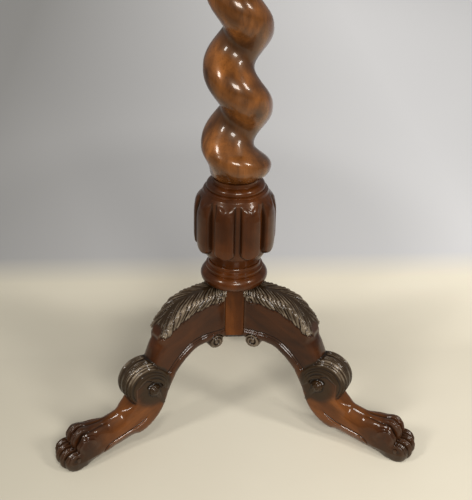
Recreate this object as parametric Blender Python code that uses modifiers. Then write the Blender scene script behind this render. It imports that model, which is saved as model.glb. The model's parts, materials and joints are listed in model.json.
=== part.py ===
"""Tilt-top tripod table: a barley-twist pillar on three carved scroll legs with paw feet.

Units are metres, +Z is up. The origin is on the floor, under the pillar's axis.
The table is seen from -Y: two legs spread towards the viewer and the third points away.
"""
import math

import bmesh
import bpy
from mathutils import Matrix
from mathutils import Vector

# General fits
GAP = 0.0003            # clearance between pieces that touch
SIDE_PLAY = 0.0005      # sideways play between the tilting bearers and the tilt block

# Heights of the pieces that are stacked on the pillar's axis
BLOCK_BOTTOM_Z = 0.1137     # floor to the underside of the block that the legs are joined to
BLOCK_HEIGHT = 0.0643
RING_HEIGHT = 0.0279
COLLAR_HEIGHT = 0.1069
TWIST_LENGTH = 0.2863
UPPER_COLLAR_HEIGHT = 0.0557
TILT_BLOCK_THICKNESS = 0.0334
TOP_THICKNESS = 0.0240

# Legs
LEG_ANGLES = {"leg_left": 210.0, "leg_right": 330.0, "leg_rear": 90.0}
LEG_THICKNESS = 0.0300
LEG_REACH = 0.2380      # pillar axis to the toe tips
HUB_FACE = 0.0208       # pillar axis to the flat that a leg is joined to
LEAF_PROUD = 0.0024     # how far the carved leaf stands out from the leg's sides
LEAF_SCALLOPS = 7
SCALLOP_DEPTH = 0.0042
BEAD_PROUD = 0.0014     # how far the bead along the arch stands out
BEAD_SINK = 0.0006      # the bead's lower edge above the arch
SCROLL_RADIUS = 0.0265
SCROLL_HALF_WIDTH = 0.0172
SCROLL_EYE_RADIUS = 0.0068
SCROLL_EYE_PROUD = 0.0030
VOLUTE_RADIUS = 0.0092
VOLUTE_CLEAR = 0.0032   # from the hub's flat to the volute's edge
TOE_COUNT = 4
TOE_SPREAD = 0.0116     # distance between neighbouring toes
SOLE_RADIUS = 0.0120

# Pattern of the leg, in shares: from the pillar's axis to the toe tips, and from the floor to the leaf's top
PATTERN_FACE = 0.0874   # where the hub's flat lies on the pattern
KNEE_TOP = [(0.10, 0.980), (0.25, 0.972), (0.33, 0.940), (0.375, 0.888), (0.415, 0.830),
            (0.443, 0.765), (0.472, 0.700), (0.505, 0.600)]
ARCH = [(0.438, 0.320), (0.411, 0.394), (0.381, 0.461), (0.339, 0.529), (0.297, 0.580),
        (0.254, 0.619), (0.190, 0.630), (0.10, 0.630)]
LEAF_TOP = [(0.12, 0.996), (0.195, 0.998), (0.260, 0.984), (0.330, 0.954), (0.378, 0.904),
            (0.420, 0.850), (0.447, 0.800), (0.458, 0.760)]
LEAF_EDGE = [(0.440, 0.785), (0.355, 0.850), (0.250, 0.885), (0.17, 0.905), (0.12, 0.950)]
BEAD_TOP = [(0.145, 0.672), (0.195, 0.682), (0.254, 0.672), (0.297, 0.636), (0.339, 0.588),
            (0.374, 0.530), (0.400, 0.466)]
SCROLL_CENTRE = (0.530, 0.450)
EYE_CENTRE = (0.503, 0.400)
VOLUTE_LEVEL = 0.615
SOLE_CENTRE = 0.925

# Side of the scroll's barrel: share of its half width, share of its radius
SCROLL_SIDE = [(1.0, 0.70), (0.86, 0.88), (0.45, 1.0)]

# Shank stations: upper point and lower point on the pattern, half width
SHANK = [
    ((0.500, 0.570), (0.403, 0.396), 0.0146),
    ((0.555, 0.420), (0.437, 0.258), 0.0152),
    ((0.610, 0.326), (0.486, 0.152), 0.0153),
    ((0.657, 0.290), (0.556, 0.080), 0.0153),
    ((0.712, 0.268), (0.648, 0.036), 0.0154),
    ((0.771, 0.252), (0.735, 0.013), 0.0161),
    ((0.830, 0.252), (0.812, 0.014), 0.0178),
    ((0.880, 0.260), (0.884, 0.008), 0.0192),
    ((0.915, 0.230), (0.930, 0.008), 0.0165),
]
SHANK_POINTS = 12
SHANK_FULLNESS = 0.72   # 1 is an oval section, less is squarer

# Toes: place of each knuckle and tip on the pattern, and three radii
INNER_KNUCKLE = ((0.888, 0.180), (0.0170, 0.0070, 0.0168))
OUTER_KNUCKLE = ((0.876, 0.156), (0.0165, 0.0068, 0.0158))
INNER_TIP = ((0.950, 0.096), (0.0120, 0.0068, 0.0172))
OUTER_TIP = ((0.932, 0.086), (0.0124, 0.0070, 0.0162))
TOE_TILT = 14.0         # degrees

# Dovetails that hold the legs in the block
DOVETAIL_DEPTH = 0.0100
DOVETAIL_NECK = 0.0110
DOVETAIL_WIDTH = 0.0160
DOVETAIL_COVER = 0.0072     # wood left between the dovetails and the mortise above them

# Tenons
TENON_RADIUS = 0.0120
COLLAR_TENON_LENGTH = 0.0480
TWIST_TENON_LENGTH = 0.0420
WEDGE_THICKNESS = 0.0024
WEDGE_INSET = 0.0020        # from the tenon's side to the wedge's edge
WEDGE_LENGTH = 0.0240

# Lower ring
RING_RADIUS = 0.0389
RING_NECK_RADIUS = 0.0285
RING_BELLY_SHARE = 0.72     # share of the ring's height that its round belly takes

# Mouldings over the belly: step out from the neck, share of the height below the ring's top
RING_MOULDING = [(0.0, 0.0), (0.0018, 0.05), (0.0018, 0.13), (0.0010, 0.15), (0.0042, 0.19), (0.0042, 0.27)]

# Lobed collar
LOBE_COUNT = 9
LOBE_RADIUS = 0.0474
LOBE_GROOVE = 0.0050        # width of the core that shows between two lobes
LOBE_FOOT = 0.0170          # collar's bottom to the lobes
LOBE_HEAD = 0.0274          # lobes to the collar's top
LOBE_FOOT_TAPER = 0.0045
LOBE_FOOT_ROUND = 0.0130
LOBE_SHOULDER = 0.0080
CORE_RADIUS = 0.0395
CORE_TUCK = 0.0025          # how far the core draws in under the lobes
COLLAR_NECK_RADIUS = 0.0290
COLLAR_FLARE = 0.0035
COLLAR_FLARE_HEIGHT = 0.0055
COLLAR_BEAD_RADIUS = 0.0317
COLLAR_BEAD_DROP = 0.0090   # collar's top to the widest part of its bead
COLLAR_BEAD_HALF = 0.0045
COLLAR_TOP_RADIUS = 0.0262
COLLAR_RIM = 0.0020

# Section of one lobe: share of its half width, share of its height over the core
LOBE_SECTION = [(-1.0, 0.0), (-0.86, 0.72), (0.0, 1.0), (0.86, 0.72), (1.0, 0.0)]

# Barley twist
TWIST_PITCH = 0.0863
TWIST_SECTION_RADIUS = 0.0300   # radius of the winding section at the foot
TWIST_TAPER = 0.0208            # loss of that radius for each metre of height, in metres
TWIST_OFFSET = 0.0102           # distance of the winding section's centre from the axis
TWIST_RIDGE_RISE = 0.1650       # height over the foot at which the ridge points to +X
TWIST_NECK_RADIUS = 0.0258
TWIST_ROUND_OFF = 0.0125        # height over which each end rounds in to its neck
TWIST_FADE_START = 0.0100       # distance from each end at which the hollow begins
TWIST_FADE = 0.0300             # length over which the hollow grows to its full depth
TWIST_END_SWELL = 0.0055        # gain of the section's radius at each end
TWIST_END_OFFSET = 0.0045
TWIST_END_TURN = 80.0           # extra degrees that the ridge turns as it runs out
TWIST_END_LENGTH = 0.0365       # length over which it does so

# Upper collar
UPPER_NECK_STEP = 0.0006        # how much wider its foot is than the twist's neck
UPPER_BEAD_RADIUS = 0.0330
UPPER_BEAD_RISE = 0.0080        # foot to the middle of the bead
UPPER_BEAD_HEIGHT = 0.0105
UPPER_COVE_STEP = 0.0020        # from the bead's radius in to the cove
UPPER_FLANGE_RADIUS = 0.0480
UPPER_FLANGE_HEIGHT = 0.0110
UPPER_FLANGE_LIP = 0.0050
UPPER_FLANGE_ROUND = 0.0030

# Tilt block, bearers and pins
TILT_BLOCK_SIZE = 0.1500
BEARER_WIDTH = 0.0220
BEARER_HEIGHT = 0.0400
BEARER_LENGTH = 0.4200
BEARER_END_HEIGHT = 0.0180
BEARER_END_TAPER = 0.0800
BEARER_SCREW_INSET = 0.0400     # bearer's end to the first screw
BEARER_SCREW_CLEAR = 0.0433     # pivot pin to the next screw
PIN_RADIUS = 0.0060
PIN_IN_BLOCK = 0.0250

# Table top
TOP_RADIUS = 0.2800
TOP_EDGE_ROUND = 0.0080
TOP_EDGE_COVE = 0.0060
TOP_EDGE_FILLET = 0.0030        # height of the square fillet between them
TOP_EDGE_STEP = 0.0020

# Brass catch
CATCH_WIDTH = 0.0400
CATCH_LENGTH = 0.0500
CATCH_HEIGHT = 0.0180
CATCH_STANDOFF = 0.0055     # gap between the tilt block's back and the catch
CATCH_FLANGE = 0.0140
CATCH_FLANGE_THICKNESS = 0.0030
CATCH_WALL = 0.0040
CATCH_SCREW_INSET = 0.0083
BOLT_WIDTH = 0.0120
BOLT_REACH = 0.0085         # how far the bolt enters the tilt block
BOLT_CLEAR = 0.0010         # how far it can be drawn clear of the block
BOLT_NOSE = 0.0031          # height of the bolt's blunt nose over its bevel
BOLT_BEVEL = 0.0060
KNOB_RADIUS = 0.0070
KNOB_STEM_RADIUS = 0.0025
KNOB_STEM_LENGTH = 0.0075   # how much of the stem shows under the case
KNOB_HEIGHT = 0.0125
KNOB_SETBACK = 0.0150       # knob behind the catch's front face
SPRING_WIRE = 0.0008
SPRING_PLAY = 0.0010        # between the spring and its channel
SPRING_LENGTH = 0.0165
SPRING_TURNS = 6

# Keeper plate
KEEPER_WIDTH = 0.0320
KEEPER_MARGIN = 0.0022      # from the tilt block's faces to the keeper's edges
KEEPER_THICKNESS = 0.0025

# Plate under the block
PLATE_THICKNESS = 0.0022
PLATE_SCREW_INSET = 0.0052  # from the hub's flats to the outer screws

# Screws
LARGE_HEAD_RADIUS = 0.0042
LARGE_SHANK_RADIUS = 0.0021
SMALL_HEAD_RADIUS = 0.0026
SMALL_SHANK_RADIUS = 0.0012
SMALL_SCREW_LENGTH = 0.0100

# Segment counts
ROUND_STEPS = 32
TOP_STEPS = 48
SCROLL_STEPS = 18
ROD_STEPS = 16
SCREW_STEPS = 8
TWIST_STEPS = 16
TWIST_SECTIONS = 42
COIL_STEPS = 8

# Worked out from the sizes above
LEG_HALF = LEG_THICKNESS / 2
SOLE_HEIGHT = SOLE_RADIUS * 0.75
BLOCK_TOP_Z = BLOCK_BOTTOM_Z + BLOCK_HEIGHT
LEG_RISE = BLOCK_TOP_Z - GAP
RING_BOTTOM_Z = BLOCK_TOP_Z + GAP
RING_TOP_Z = RING_BOTTOM_Z + RING_HEIGHT
COLLAR_BOTTOM_Z = RING_TOP_Z + GAP
COLLAR_TOP_Z = COLLAR_BOTTOM_Z + COLLAR_HEIGHT
TWIST_BOTTOM_Z = COLLAR_TOP_Z + GAP
TWIST_TOP_Z = TWIST_BOTTOM_Z + TWIST_LENGTH
UPPER_BOTTOM_Z = TWIST_TOP_Z + GAP
UPPER_TOP_Z = UPPER_BOTTOM_Z + UPPER_COLLAR_HEIGHT
TILT_BLOCK_BOTTOM_Z = UPPER_TOP_Z + GAP
TILT_BLOCK_TOP_Z = TILT_BLOCK_BOTTOM_Z + TILT_BLOCK_THICKNESS
TOP_UNDERSIDE_Z = TILT_BLOCK_TOP_Z + GAP
TOP_SURFACE_Z = TOP_UNDERSIDE_Z + TOP_THICKNESS
BORE_RADIUS = TENON_RADIUS + GAP
MORTISE_END_Z = COLLAR_BOTTOM_Z - COLLAR_TENON_LENGTH - GAP
DOVETAIL_TOP_Z = MORTISE_END_Z - DOVETAIL_COVER - GAP
TILT_BLOCK_HALF = TILT_BLOCK_SIZE / 2
NOSE_RADIUS = TILT_BLOCK_THICKNESS / 2
PIVOT_Y = -TILT_BLOCK_HALF + NOSE_RADIUS
PIVOT_Z = TILT_BLOCK_BOTTOM_Z + NOSE_RADIUS
BEARER_X = TILT_BLOCK_HALF + SIDE_PLAY + BEARER_WIDTH / 2
CATCH_FRONT_Y = TILT_BLOCK_HALF + CATCH_STANDOFF
CATCH_BACK_Y = CATCH_FRONT_Y + CATCH_LENGTH
CATCH_TOP_Z = TOP_UNDERSIDE_Z - GAP
CATCH_BOTTOM_Z = CATCH_TOP_Z - CATCH_HEIGHT
BOLT_BOTTOM_Z = CATCH_BOTTOM_Z + CATCH_WALL + GAP
BOLT_TOP_Z = CATCH_TOP_Z - CATCH_WALL - GAP
BOLT_HEIGHT = BOLT_TOP_Z - BOLT_BOTTOM_Z
BOLT_FRONT_Y = TILT_BLOCK_HALF - BOLT_REACH
BOLT_TRAVEL = BOLT_REACH + BOLT_CLEAR
SPRING_SEAT_Y = CATCH_BACK_Y - CATCH_WALL
BOLT_BACK_Y = SPRING_SEAT_Y - SPRING_LENGTH
SPRING_RADIUS = min(BOLT_WIDTH, BOLT_HEIGHT) / 2 - SPRING_WIRE / 2 - SPRING_PLAY
KNOB_Y = CATCH_FRONT_Y + KNOB_SETBACK

# Colours
MAHOGANY = (0.115, 0.042, 0.017)
CARVED = (0.070, 0.030, 0.014)
BRASS = (0.60, 0.42, 0.16)
IRON = (0.06, 0.055, 0.05)
STEEL = (0.45, 0.44, 0.42)


# Scene, collections and materials

def new_collection(name):
    collection = bpy.data.collections.new(name)
    bpy.context.scene.collection.children.link(collection)
    return collection


def new_empty(name, location, parent=None):
    """An empty that carries the pieces of one body; its place is in world space."""
    empty = bpy.data.objects.new(name, None)
    parts.objects.link(empty)
    empty.parent = parent
    empty.location = Vector(location) - (parent.matrix_world.translation if parent else Vector())
    bpy.context.view_layer.update()
    return empty


def make_material(name, colour, roughness, metallic=0.0):
    material = bpy.data.materials.new(name)
    material.use_nodes = True
    shader = material.node_tree.nodes["Principled BSDF"]
    shader.inputs["Base Color"].default_value = (*colour, 1.0)
    shader.inputs["Roughness"].default_value = roughness
    shader.inputs["Metallic"].default_value = metallic
    material.diffuse_color = (*colour, 1.0)
    return material


def place(name, mesh, collection, material=None):
    thing = bpy.data.objects.new(name, mesh)
    collection.objects.link(thing)
    if material:
        mesh.materials.clear()
        mesh.materials.append(material)
    return thing


def as_cutter(thing):
    thing.hide_render = True
    thing.display_type = "WIRE"
    return thing


def smooth(mesh, angle=35.0):
    mesh.shade_smooth()
    mesh.set_sharp_from_angle(angle=math.radians(angle))


def finish_mesh(shape, name):
    """Turn a bmesh's faces outwards and make a mesh of it."""
    bmesh.ops.recalc_face_normals(shape, faces=shape.faces)
    mesh = bpy.data.meshes.new(name)
    shape.to_mesh(mesh)
    shape.free()
    return mesh


def evaluated_mesh(thing, name):
    """The mesh of an object with its modifiers, in world space."""
    graph = bpy.context.evaluated_depsgraph_get()
    mesh = bpy.data.meshes.new_from_object(thing.evaluated_get(graph))
    mesh.transform(thing.matrix_world)
    mesh.name = name
    return mesh


def solid_of_curve(curve, name, matrix):
    """A curve object's mesh with its caps welded on."""
    guide = place(name, curve, bpy.context.scene.collection)
    guide.matrix_world = matrix
    bpy.context.view_layer.update()
    loose = evaluated_mesh(guide, name)
    bpy.data.objects.remove(guide)
    shape = bmesh.new()
    shape.from_mesh(loose)
    bmesh.ops.remove_doubles(shape, verts=shape.verts, dist=0.000001)
    bpy.data.meshes.remove(loose)
    return finish_mesh(shape, name)


# Basic shapes

def box_mesh(name, low, high):
    size = [b - a for a, b in zip(low, high)]
    middle = [(a + b) / 2 for a, b in zip(low, high)]
    matrix = Matrix.Translation(middle) @ Matrix.Diagonal((*size, 1.0))
    shape = bmesh.new()
    bmesh.ops.create_cube(shape, size=1.0, matrix=matrix)
    return finish_mesh(shape, name)


def rod_mesh(name, start, end, radius, steps=ROD_STEPS):
    """A closed cylinder between two points."""
    axis = Vector(end) - Vector(start)
    turn = axis.to_track_quat("Z", "Y").to_matrix().to_4x4()
    middle = Matrix.Translation((Vector(start) + Vector(end)) / 2)
    shape = bmesh.new()
    bmesh.ops.create_cone(shape, cap_ends=True, segments=steps, radius1=radius, radius2=radius,
                          depth=axis.length, matrix=middle @ turn)
    return finish_mesh(shape, name)


def ball_mesh(name, centre, radii, tilt=0.0, steps=8):
    """An ellipsoid, tilted about Y."""
    shape = bmesh.new()
    turn = Matrix.Rotation(tilt, 4, "Y")
    bmesh.ops.create_uvsphere(shape, u_segments=steps, v_segments=steps - 2, radius=1.0,
                              matrix=Matrix.Translation(centre) @ turn @ Matrix.Diagonal((*radii, 1.0)))
    return finish_mesh(shape, name)


def turned_mesh(name, profile, steps=ROUND_STEPS, closed=False):
    """A turned solid from (radius, z) points that run down its outer side."""
    mesh = bpy.data.meshes.new(name + "_profile")
    points = [(radius, 0.0, z) for radius, z in profile]
    edges = [(i, i + 1) for i in range(len(points) - 1)]
    if closed:
        edges.append((len(points) - 1, 0))
    mesh.from_pydata(points, edges, [])
    guide = place(name + "_profile", mesh, bpy.context.scene.collection)
    screw = guide.modifiers.new("turn", "SCREW")
    screw.steps = steps
    screw.render_steps = steps
    screw.use_merge_vertices = True
    screw.merge_threshold = 0.00001
    solid = evaluated_mesh(guide, name)
    bpy.data.objects.remove(guide)
    smooth(solid)
    return solid


def outline_mesh(name, points, half, plane="XZ", offset=0.0):
    """A flat outline, extruded to both sides of its plane."""
    curve = bpy.data.curves.new(name, "CURVE")
    curve.dimensions = "2D"
    curve.fill_mode = "BOTH"
    curve.extrude = half
    spline = curve.splines.new("POLY")
    spline.points.add(len(points) - 1)
    for point, (u, v) in zip(spline.points, points):
        point.co = (u, v, 0.0, 1.0)
    spline.use_cyclic_u = True
    if plane == "XZ":
        matrix = Matrix.Translation((0, offset, 0)) @ Matrix.Rotation(math.radians(90), 4, "X")
    else:
        matrix = Matrix.Translation((0, 0, offset))
    return solid_of_curve(curve, name, matrix)


def side_outline_mesh(name, points, half, x=0.0):
    """An outline in the YZ plane, extruded to both sides of a place on X."""
    mesh = outline_mesh(name, points, half)
    mesh.transform(Matrix.Translation((x, 0, 0)) @ Matrix.Rotation(math.radians(90), 4, "Z"))
    return mesh


def loft_mesh(name, rings):
    """A closed solid through rings that all have the same number of points."""
    shape = bmesh.new()
    rows = [[shape.verts.new(point) for point in ring] for ring in rings]
    count = len(rows[0])
    for lower, upper in zip(rows, rows[1:]):
        for i in range(count):
            j = (i + 1) % count
            shape.faces.new((lower[i], lower[j], upper[j], upper[i]))
    shape.faces.new(list(reversed(rows[0])))
    shape.faces.new(rows[-1])
    mesh = finish_mesh(shape, name)
    smooth(mesh)
    return mesh


def circle(radius, z, steps, centre=(0.0, 0.0)):
    turns = [2 * math.pi * i / steps for i in range(steps)]
    return [(centre[0] + radius * math.cos(a), centre[1] + radius * math.sin(a), z) for a in turns]


def arc(centre, radius, start, end, steps):
    """Points on an arc between two angles in degrees."""
    angles = [math.radians(start + (end - start) * i / steps) for i in range(steps + 1)]
    return [(centre[0] + radius * math.cos(a), centre[1] + radius * math.sin(a)) for a in angles]


def curve_through(points, steps):
    """A smooth curve through a few points, with some steps between each two."""
    ends = [points[0]] + list(points) + [points[-1]]
    result = []
    for a, b, c, d in zip(ends, ends[1:], ends[2:], ends[3:]):
        for i in range(steps):
            t = i / steps
            result.append(tuple(
                0.5 * (2 * q + (r - p) * t + (2 * p - 5 * q + 4 * r - s) * t ** 2
                       + (3 * q - p - 3 * r + s) * t ** 3)
                for p, q, r, s in zip(a, b, c, d)))
    result.append(tuple(points[-1]))
    return result


def smoothstep(t):
    t = min(max(t, 0.0), 1.0)
    return t * t * (3 - 2 * t)


def join(thing, cutter, operation):
    """Add a Boolean with another object."""
    change = thing.modifiers.new(cutter.name, "BOOLEAN")
    change.operation = operation
    change.solver = "EXACT"
    change.object = cutter


def screw_mesh(name, direction, head_at, head, shank, length, play=0.0):
    """A countersunk wood screw, from the middle of its head along a direction to its tip."""
    profile = [
        (0.0, play),
        (head + play, play),
        (shank + play, shank - head),
        (shank + play, 2 * shank - length),
        (0.0, -length - play),
    ]
    mesh = turned_mesh(name, profile, SCREW_STEPS)
    turn = Vector(direction).to_track_quat("-Z", "Y").to_matrix().to_4x4()
    mesh.transform(Matrix.Translation(head_at) @ turn)
    return mesh


# Start from an empty scene

for leftover in list(bpy.data.objects):
    bpy.data.objects.remove(leftover)

parts = new_collection("tripod_table")
cutters = new_collection("cutters")
base_empty = new_empty("base", (0.0, 0.0, 0.0))
tilt_empty = new_empty("tilt_axis", (0.0, PIVOT_Y, PIVOT_Z), base_empty)
bolt_empty = new_empty("bolt_slide", (0.0, BOLT_FRONT_Y, BOLT_BOTTOM_Z), tilt_empty)


def add_part(name, mesh, parent, colour, roughness, metallic=0.0):
    """One named sub-part with a material of its own, carried by an empty."""
    thing = place(name, mesh, parts, make_material(name, colour, roughness, metallic))
    thing.parent = parent
    thing.matrix_parent_inverse = parent.matrix_world.inverted()
    return thing


def cut(thing, mesh, operation="DIFFERENCE"):
    """Cut a part with a mesh, or join a mesh to it."""
    cutter = as_cutter(place(thing.name + "_" + mesh.name, mesh, cutters))
    join(thing, cutter, operation)


def add_screw(name, direction, head_at, sizes, carriers, parent, colour):
    """One screw, and the holes that it needs in what it fastens."""
    add_part(name, screw_mesh(name, direction, head_at, *sizes), parent, colour, 0.35, 1.0)
    for carrier in carriers:
        cut(carrier, screw_mesh(name + "_hole", direction, head_at, *sizes, GAP))


def add_small_screws(prefix, heads, direction, carriers, parent, colour):
    """A row of numbered small screws."""
    sizes = (SMALL_HEAD_RADIUS, SMALL_SHANK_RADIUS, SMALL_SCREW_LENGTH)
    for number, head_at in enumerate(heads, 1):
        add_screw(f"{prefix}_{number}", direction, head_at, sizes, carriers, parent, colour)


# Block that the legs are joined to

def spoke(angle, r, t):
    """A plan point at a distance along a leg's direction and across it."""
    a = math.radians(angle)
    return (r * math.cos(a) - t * math.sin(a), r * math.sin(a) + t * math.cos(a))


def dovetail_outline(angle, play):
    root = HUB_FACE - DOVETAIL_DEPTH - play
    neck = DOVETAIL_NECK / 2 + play
    wide = DOVETAIL_WIDTH / 2 + play
    outer = HUB_FACE + LEG_HALF / 2
    corners = [(root, -wide), (outer, -neck), (outer, neck), (root, wide)]
    return [spoke(angle, r, t) for r, t in corners]


def hub_outline(face, half):
    corners = []
    for angle in sorted(LEG_ANGLES.values()):
        corners.append(spoke(angle, face, -half))
        corners.append(spoke(angle, face, half))
    return corners


def build_block():
    middle = (BLOCK_TOP_Z + BLOCK_BOTTOM_Z) / 2
    mesh = outline_mesh("hub", hub_outline(HUB_FACE, LEG_HALF), BLOCK_HEIGHT / 2, "XY", middle)
    block = add_part("leg_block", mesh, base_empty, MAHOGANY, 0.30)
    depth = DOVETAIL_TOP_Z + GAP - BLOCK_BOTTOM_Z
    for name, angle in LEG_ANGLES.items():
        outline = dovetail_outline(angle, GAP)
        cut(block, outline_mesh(name + "_socket", outline, depth, "XY", BLOCK_BOTTOM_Z))
    cut(block, rod_mesh("mortise", (0, 0, MORTISE_END_Z), (0, 0, RING_TOP_Z), BORE_RADIUS))


# Carved legs, modelled along +X and then turned into place

def leg_point(u, v):
    """A point of the leg's pattern, as a distance from the pillar's axis and a height."""
    along = (u - PATTERN_FACE) / (1 - PATTERN_FACE)
    return (HUB_FACE + along * (LEG_REACH - HUB_FACE), v * LEG_RISE)


def leg_curve(points, steps=2):
    """A smooth stretch of the leg's pattern."""
    return curve_through([leg_point(u, v) for u, v in points], steps)


def shank_ring(upper, lower, half):
    top_r, top_z = leg_point(*upper)
    bottom_r, bottom_z = leg_point(*lower)
    middle = Vector(((top_r + bottom_r) / 2, 0.0, (top_z + bottom_z) / 2))
    height = Vector(((top_r - bottom_r) / 2, 0.0, (top_z - bottom_z) / 2))
    ring = []
    for i in range(SHANK_POINTS):
        a = 2 * math.pi * i / SHANK_POINTS
        up = math.copysign(abs(math.sin(a)) ** SHANK_FULLNESS, math.sin(a))
        across = math.copysign(abs(math.cos(a)) ** SHANK_FULLNESS, math.cos(a))
        ring.append(middle + height * up + Vector((0.0, half * across, 0.0)))
    return ring


def leaf_edge():
    """The leaf's lower edge: a row of round scallops."""
    route = leg_curve(LEAF_EDGE, 1)
    lengths = [0.0]
    for a, b in zip(route, route[1:]):
        lengths.append(lengths[-1] + math.dist(a, b))
    points = []
    steps = 3 * LEAF_SCALLOPS
    for i in range(steps + 1):
        at = lengths[-1] * i / steps
        k = max(j for j in range(len(route) - 1) if lengths[j] <= at + 1e-9)
        t = (at - lengths[k]) / (lengths[k + 1] - lengths[k])
        r = route[k][0] + t * (route[k + 1][0] - route[k][0])
        z = route[k][1] + t * (route[k + 1][1] - route[k][1])
        points.append((r, z - SCALLOP_DEPTH * abs(math.sin(math.pi * LEAF_SCALLOPS * i / steps))))
    return points


def cross_rod(name, at, half, radius):
    """A round boss that runs across the leg and shows at both sides."""
    return rod_mesh(name, (at[0], -half, at[1]), (at[0], half, at[1]), radius)


def scroll_mesh():
    """The rolled end of the knee: a barrel across the leg."""
    side = [(SCROLL_RADIUS * share, SCROLL_HALF_WIDTH * across) for across, share in SCROLL_SIDE]
    profile = [(0.0, SCROLL_HALF_WIDTH)] + side
    profile += [(radius, -across) for radius, across in reversed(side)] + [(0.0, -SCROLL_HALF_WIDTH)]
    barrel = turned_mesh("scroll", profile, SCROLL_STEPS)
    r, z = leg_point(*SCROLL_CENTRE)
    barrel.transform(Matrix.Translation((r, 0.0, z)) @ Matrix.Rotation(math.radians(90), 4, "X"))
    return barrel


def toe_meshes():
    """The toes, each a knuckle and a tip, side by side across the foot."""
    shapes = []
    for i in range(TOE_COUNT):
        across = (i - (TOE_COUNT - 1) / 2) * TOE_SPREAD
        outer = i in (0, TOE_COUNT - 1)
        knuckle = OUTER_KNUCKLE if outer else INNER_KNUCKLE
        tip = OUTER_TIP if outer else INNER_TIP
        for label, (at, radii) in (("knuckle", knuckle), ("tip", tip)):
            r, z = leg_point(*at)
            shapes.append(ball_mesh(f"toe_{label}_{i}", (r, across, z), radii, math.radians(TOE_TILT)))
    return shapes


def board_mesh():
    """The plain board of the knee, from the block to the scroll."""
    inner = HUB_FACE + GAP
    top = [(inner, leg_point(*KNEE_TOP[0])[1])] + leg_curve(KNEE_TOP)[1:]
    arch = leg_curve(ARCH)[:-1] + [(inner, leg_point(*ARCH[-1])[1])]
    return outline_mesh("leg_board", top + [leg_point(*SCROLL_CENTRE)] + arch, LEG_HALF)


def leg_forms():
    """What is carved on the board or joined to it."""
    leaf = outline_mesh("leaf", leg_curve(LEAF_TOP) + leaf_edge(), LEG_HALF + LEAF_PROUD)
    volute_at = (HUB_FACE + VOLUTE_CLEAR + VOLUTE_RADIUS, VOLUTE_LEVEL * LEG_RISE)
    under = [(r, z + BEAD_SINK) for r, z in leg_curve(ARCH) if r > volute_at[0]]
    bead = outline_mesh("bead", leg_curve(BEAD_TOP) + under, LEG_HALF + BEAD_PROUD)
    volute = cross_rod("volute", volute_at, LEG_HALF + BEAD_PROUD + GAP, VOLUTE_RADIUS)
    shank = loft_mesh("shank", [shank_ring(*station) for station in SHANK])
    eye = cross_rod("scroll_eye", leg_point(*EYE_CENTRE), SCROLL_HALF_WIDTH + SCROLL_EYE_PROUD,
                    SCROLL_EYE_RADIUS)
    sole_r, floor = leg_point(SOLE_CENTRE, 0.0)
    sole = rod_mesh("sole", (sole_r, 0.0, floor), (sole_r, 0.0, SOLE_HEIGHT), SOLE_RADIUS)
    half_tongue = (DOVETAIL_TOP_Z - BLOCK_BOTTOM_Z) / 2
    tongue = outline_mesh("tongue", dovetail_outline(0.0, 0.0), half_tongue, "XY",
                          BLOCK_BOTTOM_Z + half_tongue)
    return [tongue, leaf, bead, volute, shank, scroll_mesh(), eye, sole] + toe_meshes()


def leg_mesh():
    """The whole leg, with all its forms joined at once, cut level with the floor."""
    leg = place("leg_board", board_mesh(), cutters)
    forms = new_collection("leg_forms")
    for form in leg_forms():
        as_cutter(place("leg_" + form.name, form, forms))
    union = leg.modifiers.new("forms", "BOOLEAN")
    union.operation = "UNION"
    union.solver = "EXACT"
    union.operand_type = "COLLECTION"
    union.collection = forms
    reach = 2 * LEG_REACH
    cut(leg, box_mesh("under_floor", (0.0, -reach, -LEG_RISE), (reach, reach, 0.0)))
    bpy.context.view_layer.update()
    mesh = evaluated_mesh(leg, "leg")
    as_cutter(leg)
    smooth(mesh, 30.0)
    return mesh


def build_legs():
    mesh = leg_mesh()
    for name, angle in LEG_ANGLES.items():
        leg = add_part(name, mesh.copy(), base_empty, CARVED, 0.32)
        leg.rotation_euler = (0.0, 0.0, math.radians(angle))


# Iron plate that closes the dovetails from below

def build_under_plate():
    top = BLOCK_BOTTOM_Z - GAP
    half = PLATE_THICKNESS / 2
    mesh = outline_mesh("plate", hub_outline(HUB_FACE - GAP, LEG_HALF - GAP), half, "XY", top - half)
    plate = add_part("under_plate", mesh, base_empty, IRON, 0.55, 1.0)
    out = HUB_FACE - PLATE_SCREW_INSET
    between = 180.0 / len(LEG_ANGLES)
    places = [(0.0, 0.0)] + [spoke(angle + between, out, 0.0) for angle in LEG_ANGLES.values()]
    heads = [(x, y, top - PLATE_THICKNESS) for x, y in places]
    carriers = [plate, bpy.data.objects["leg_block"]]
    add_small_screws("under_plate_screw", heads, (0, 0, 1), carriers, base_empty, STEEL)


# Turned lower ring

def build_lower_ring():
    half = RING_HEIGHT * RING_BELLY_SHARE / 2
    middle = RING_BOTTOM_Z + half
    bulge = (RING_RADIUS - RING_NECK_RADIUS) / 2
    belly = [(RING_RADIUS - bulge + bulge * u, middle + half * v) for u, v in arc((0, 0), 1.0, 80, -80, 8)]
    moulding = [(RING_NECK_RADIUS + step, RING_TOP_Z - RING_HEIGHT * share) for step, share in RING_MOULDING]
    profile = [(BORE_RADIUS, RING_TOP_Z)] + moulding + belly + [(BORE_RADIUS, RING_BOTTOM_Z)]
    mesh = turned_mesh("lower_ring", profile, ROUND_STEPS, True)
    add_part("lower_ring", mesh, base_empty, MAHOGANY, 0.22)


# Lobed collar

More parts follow.
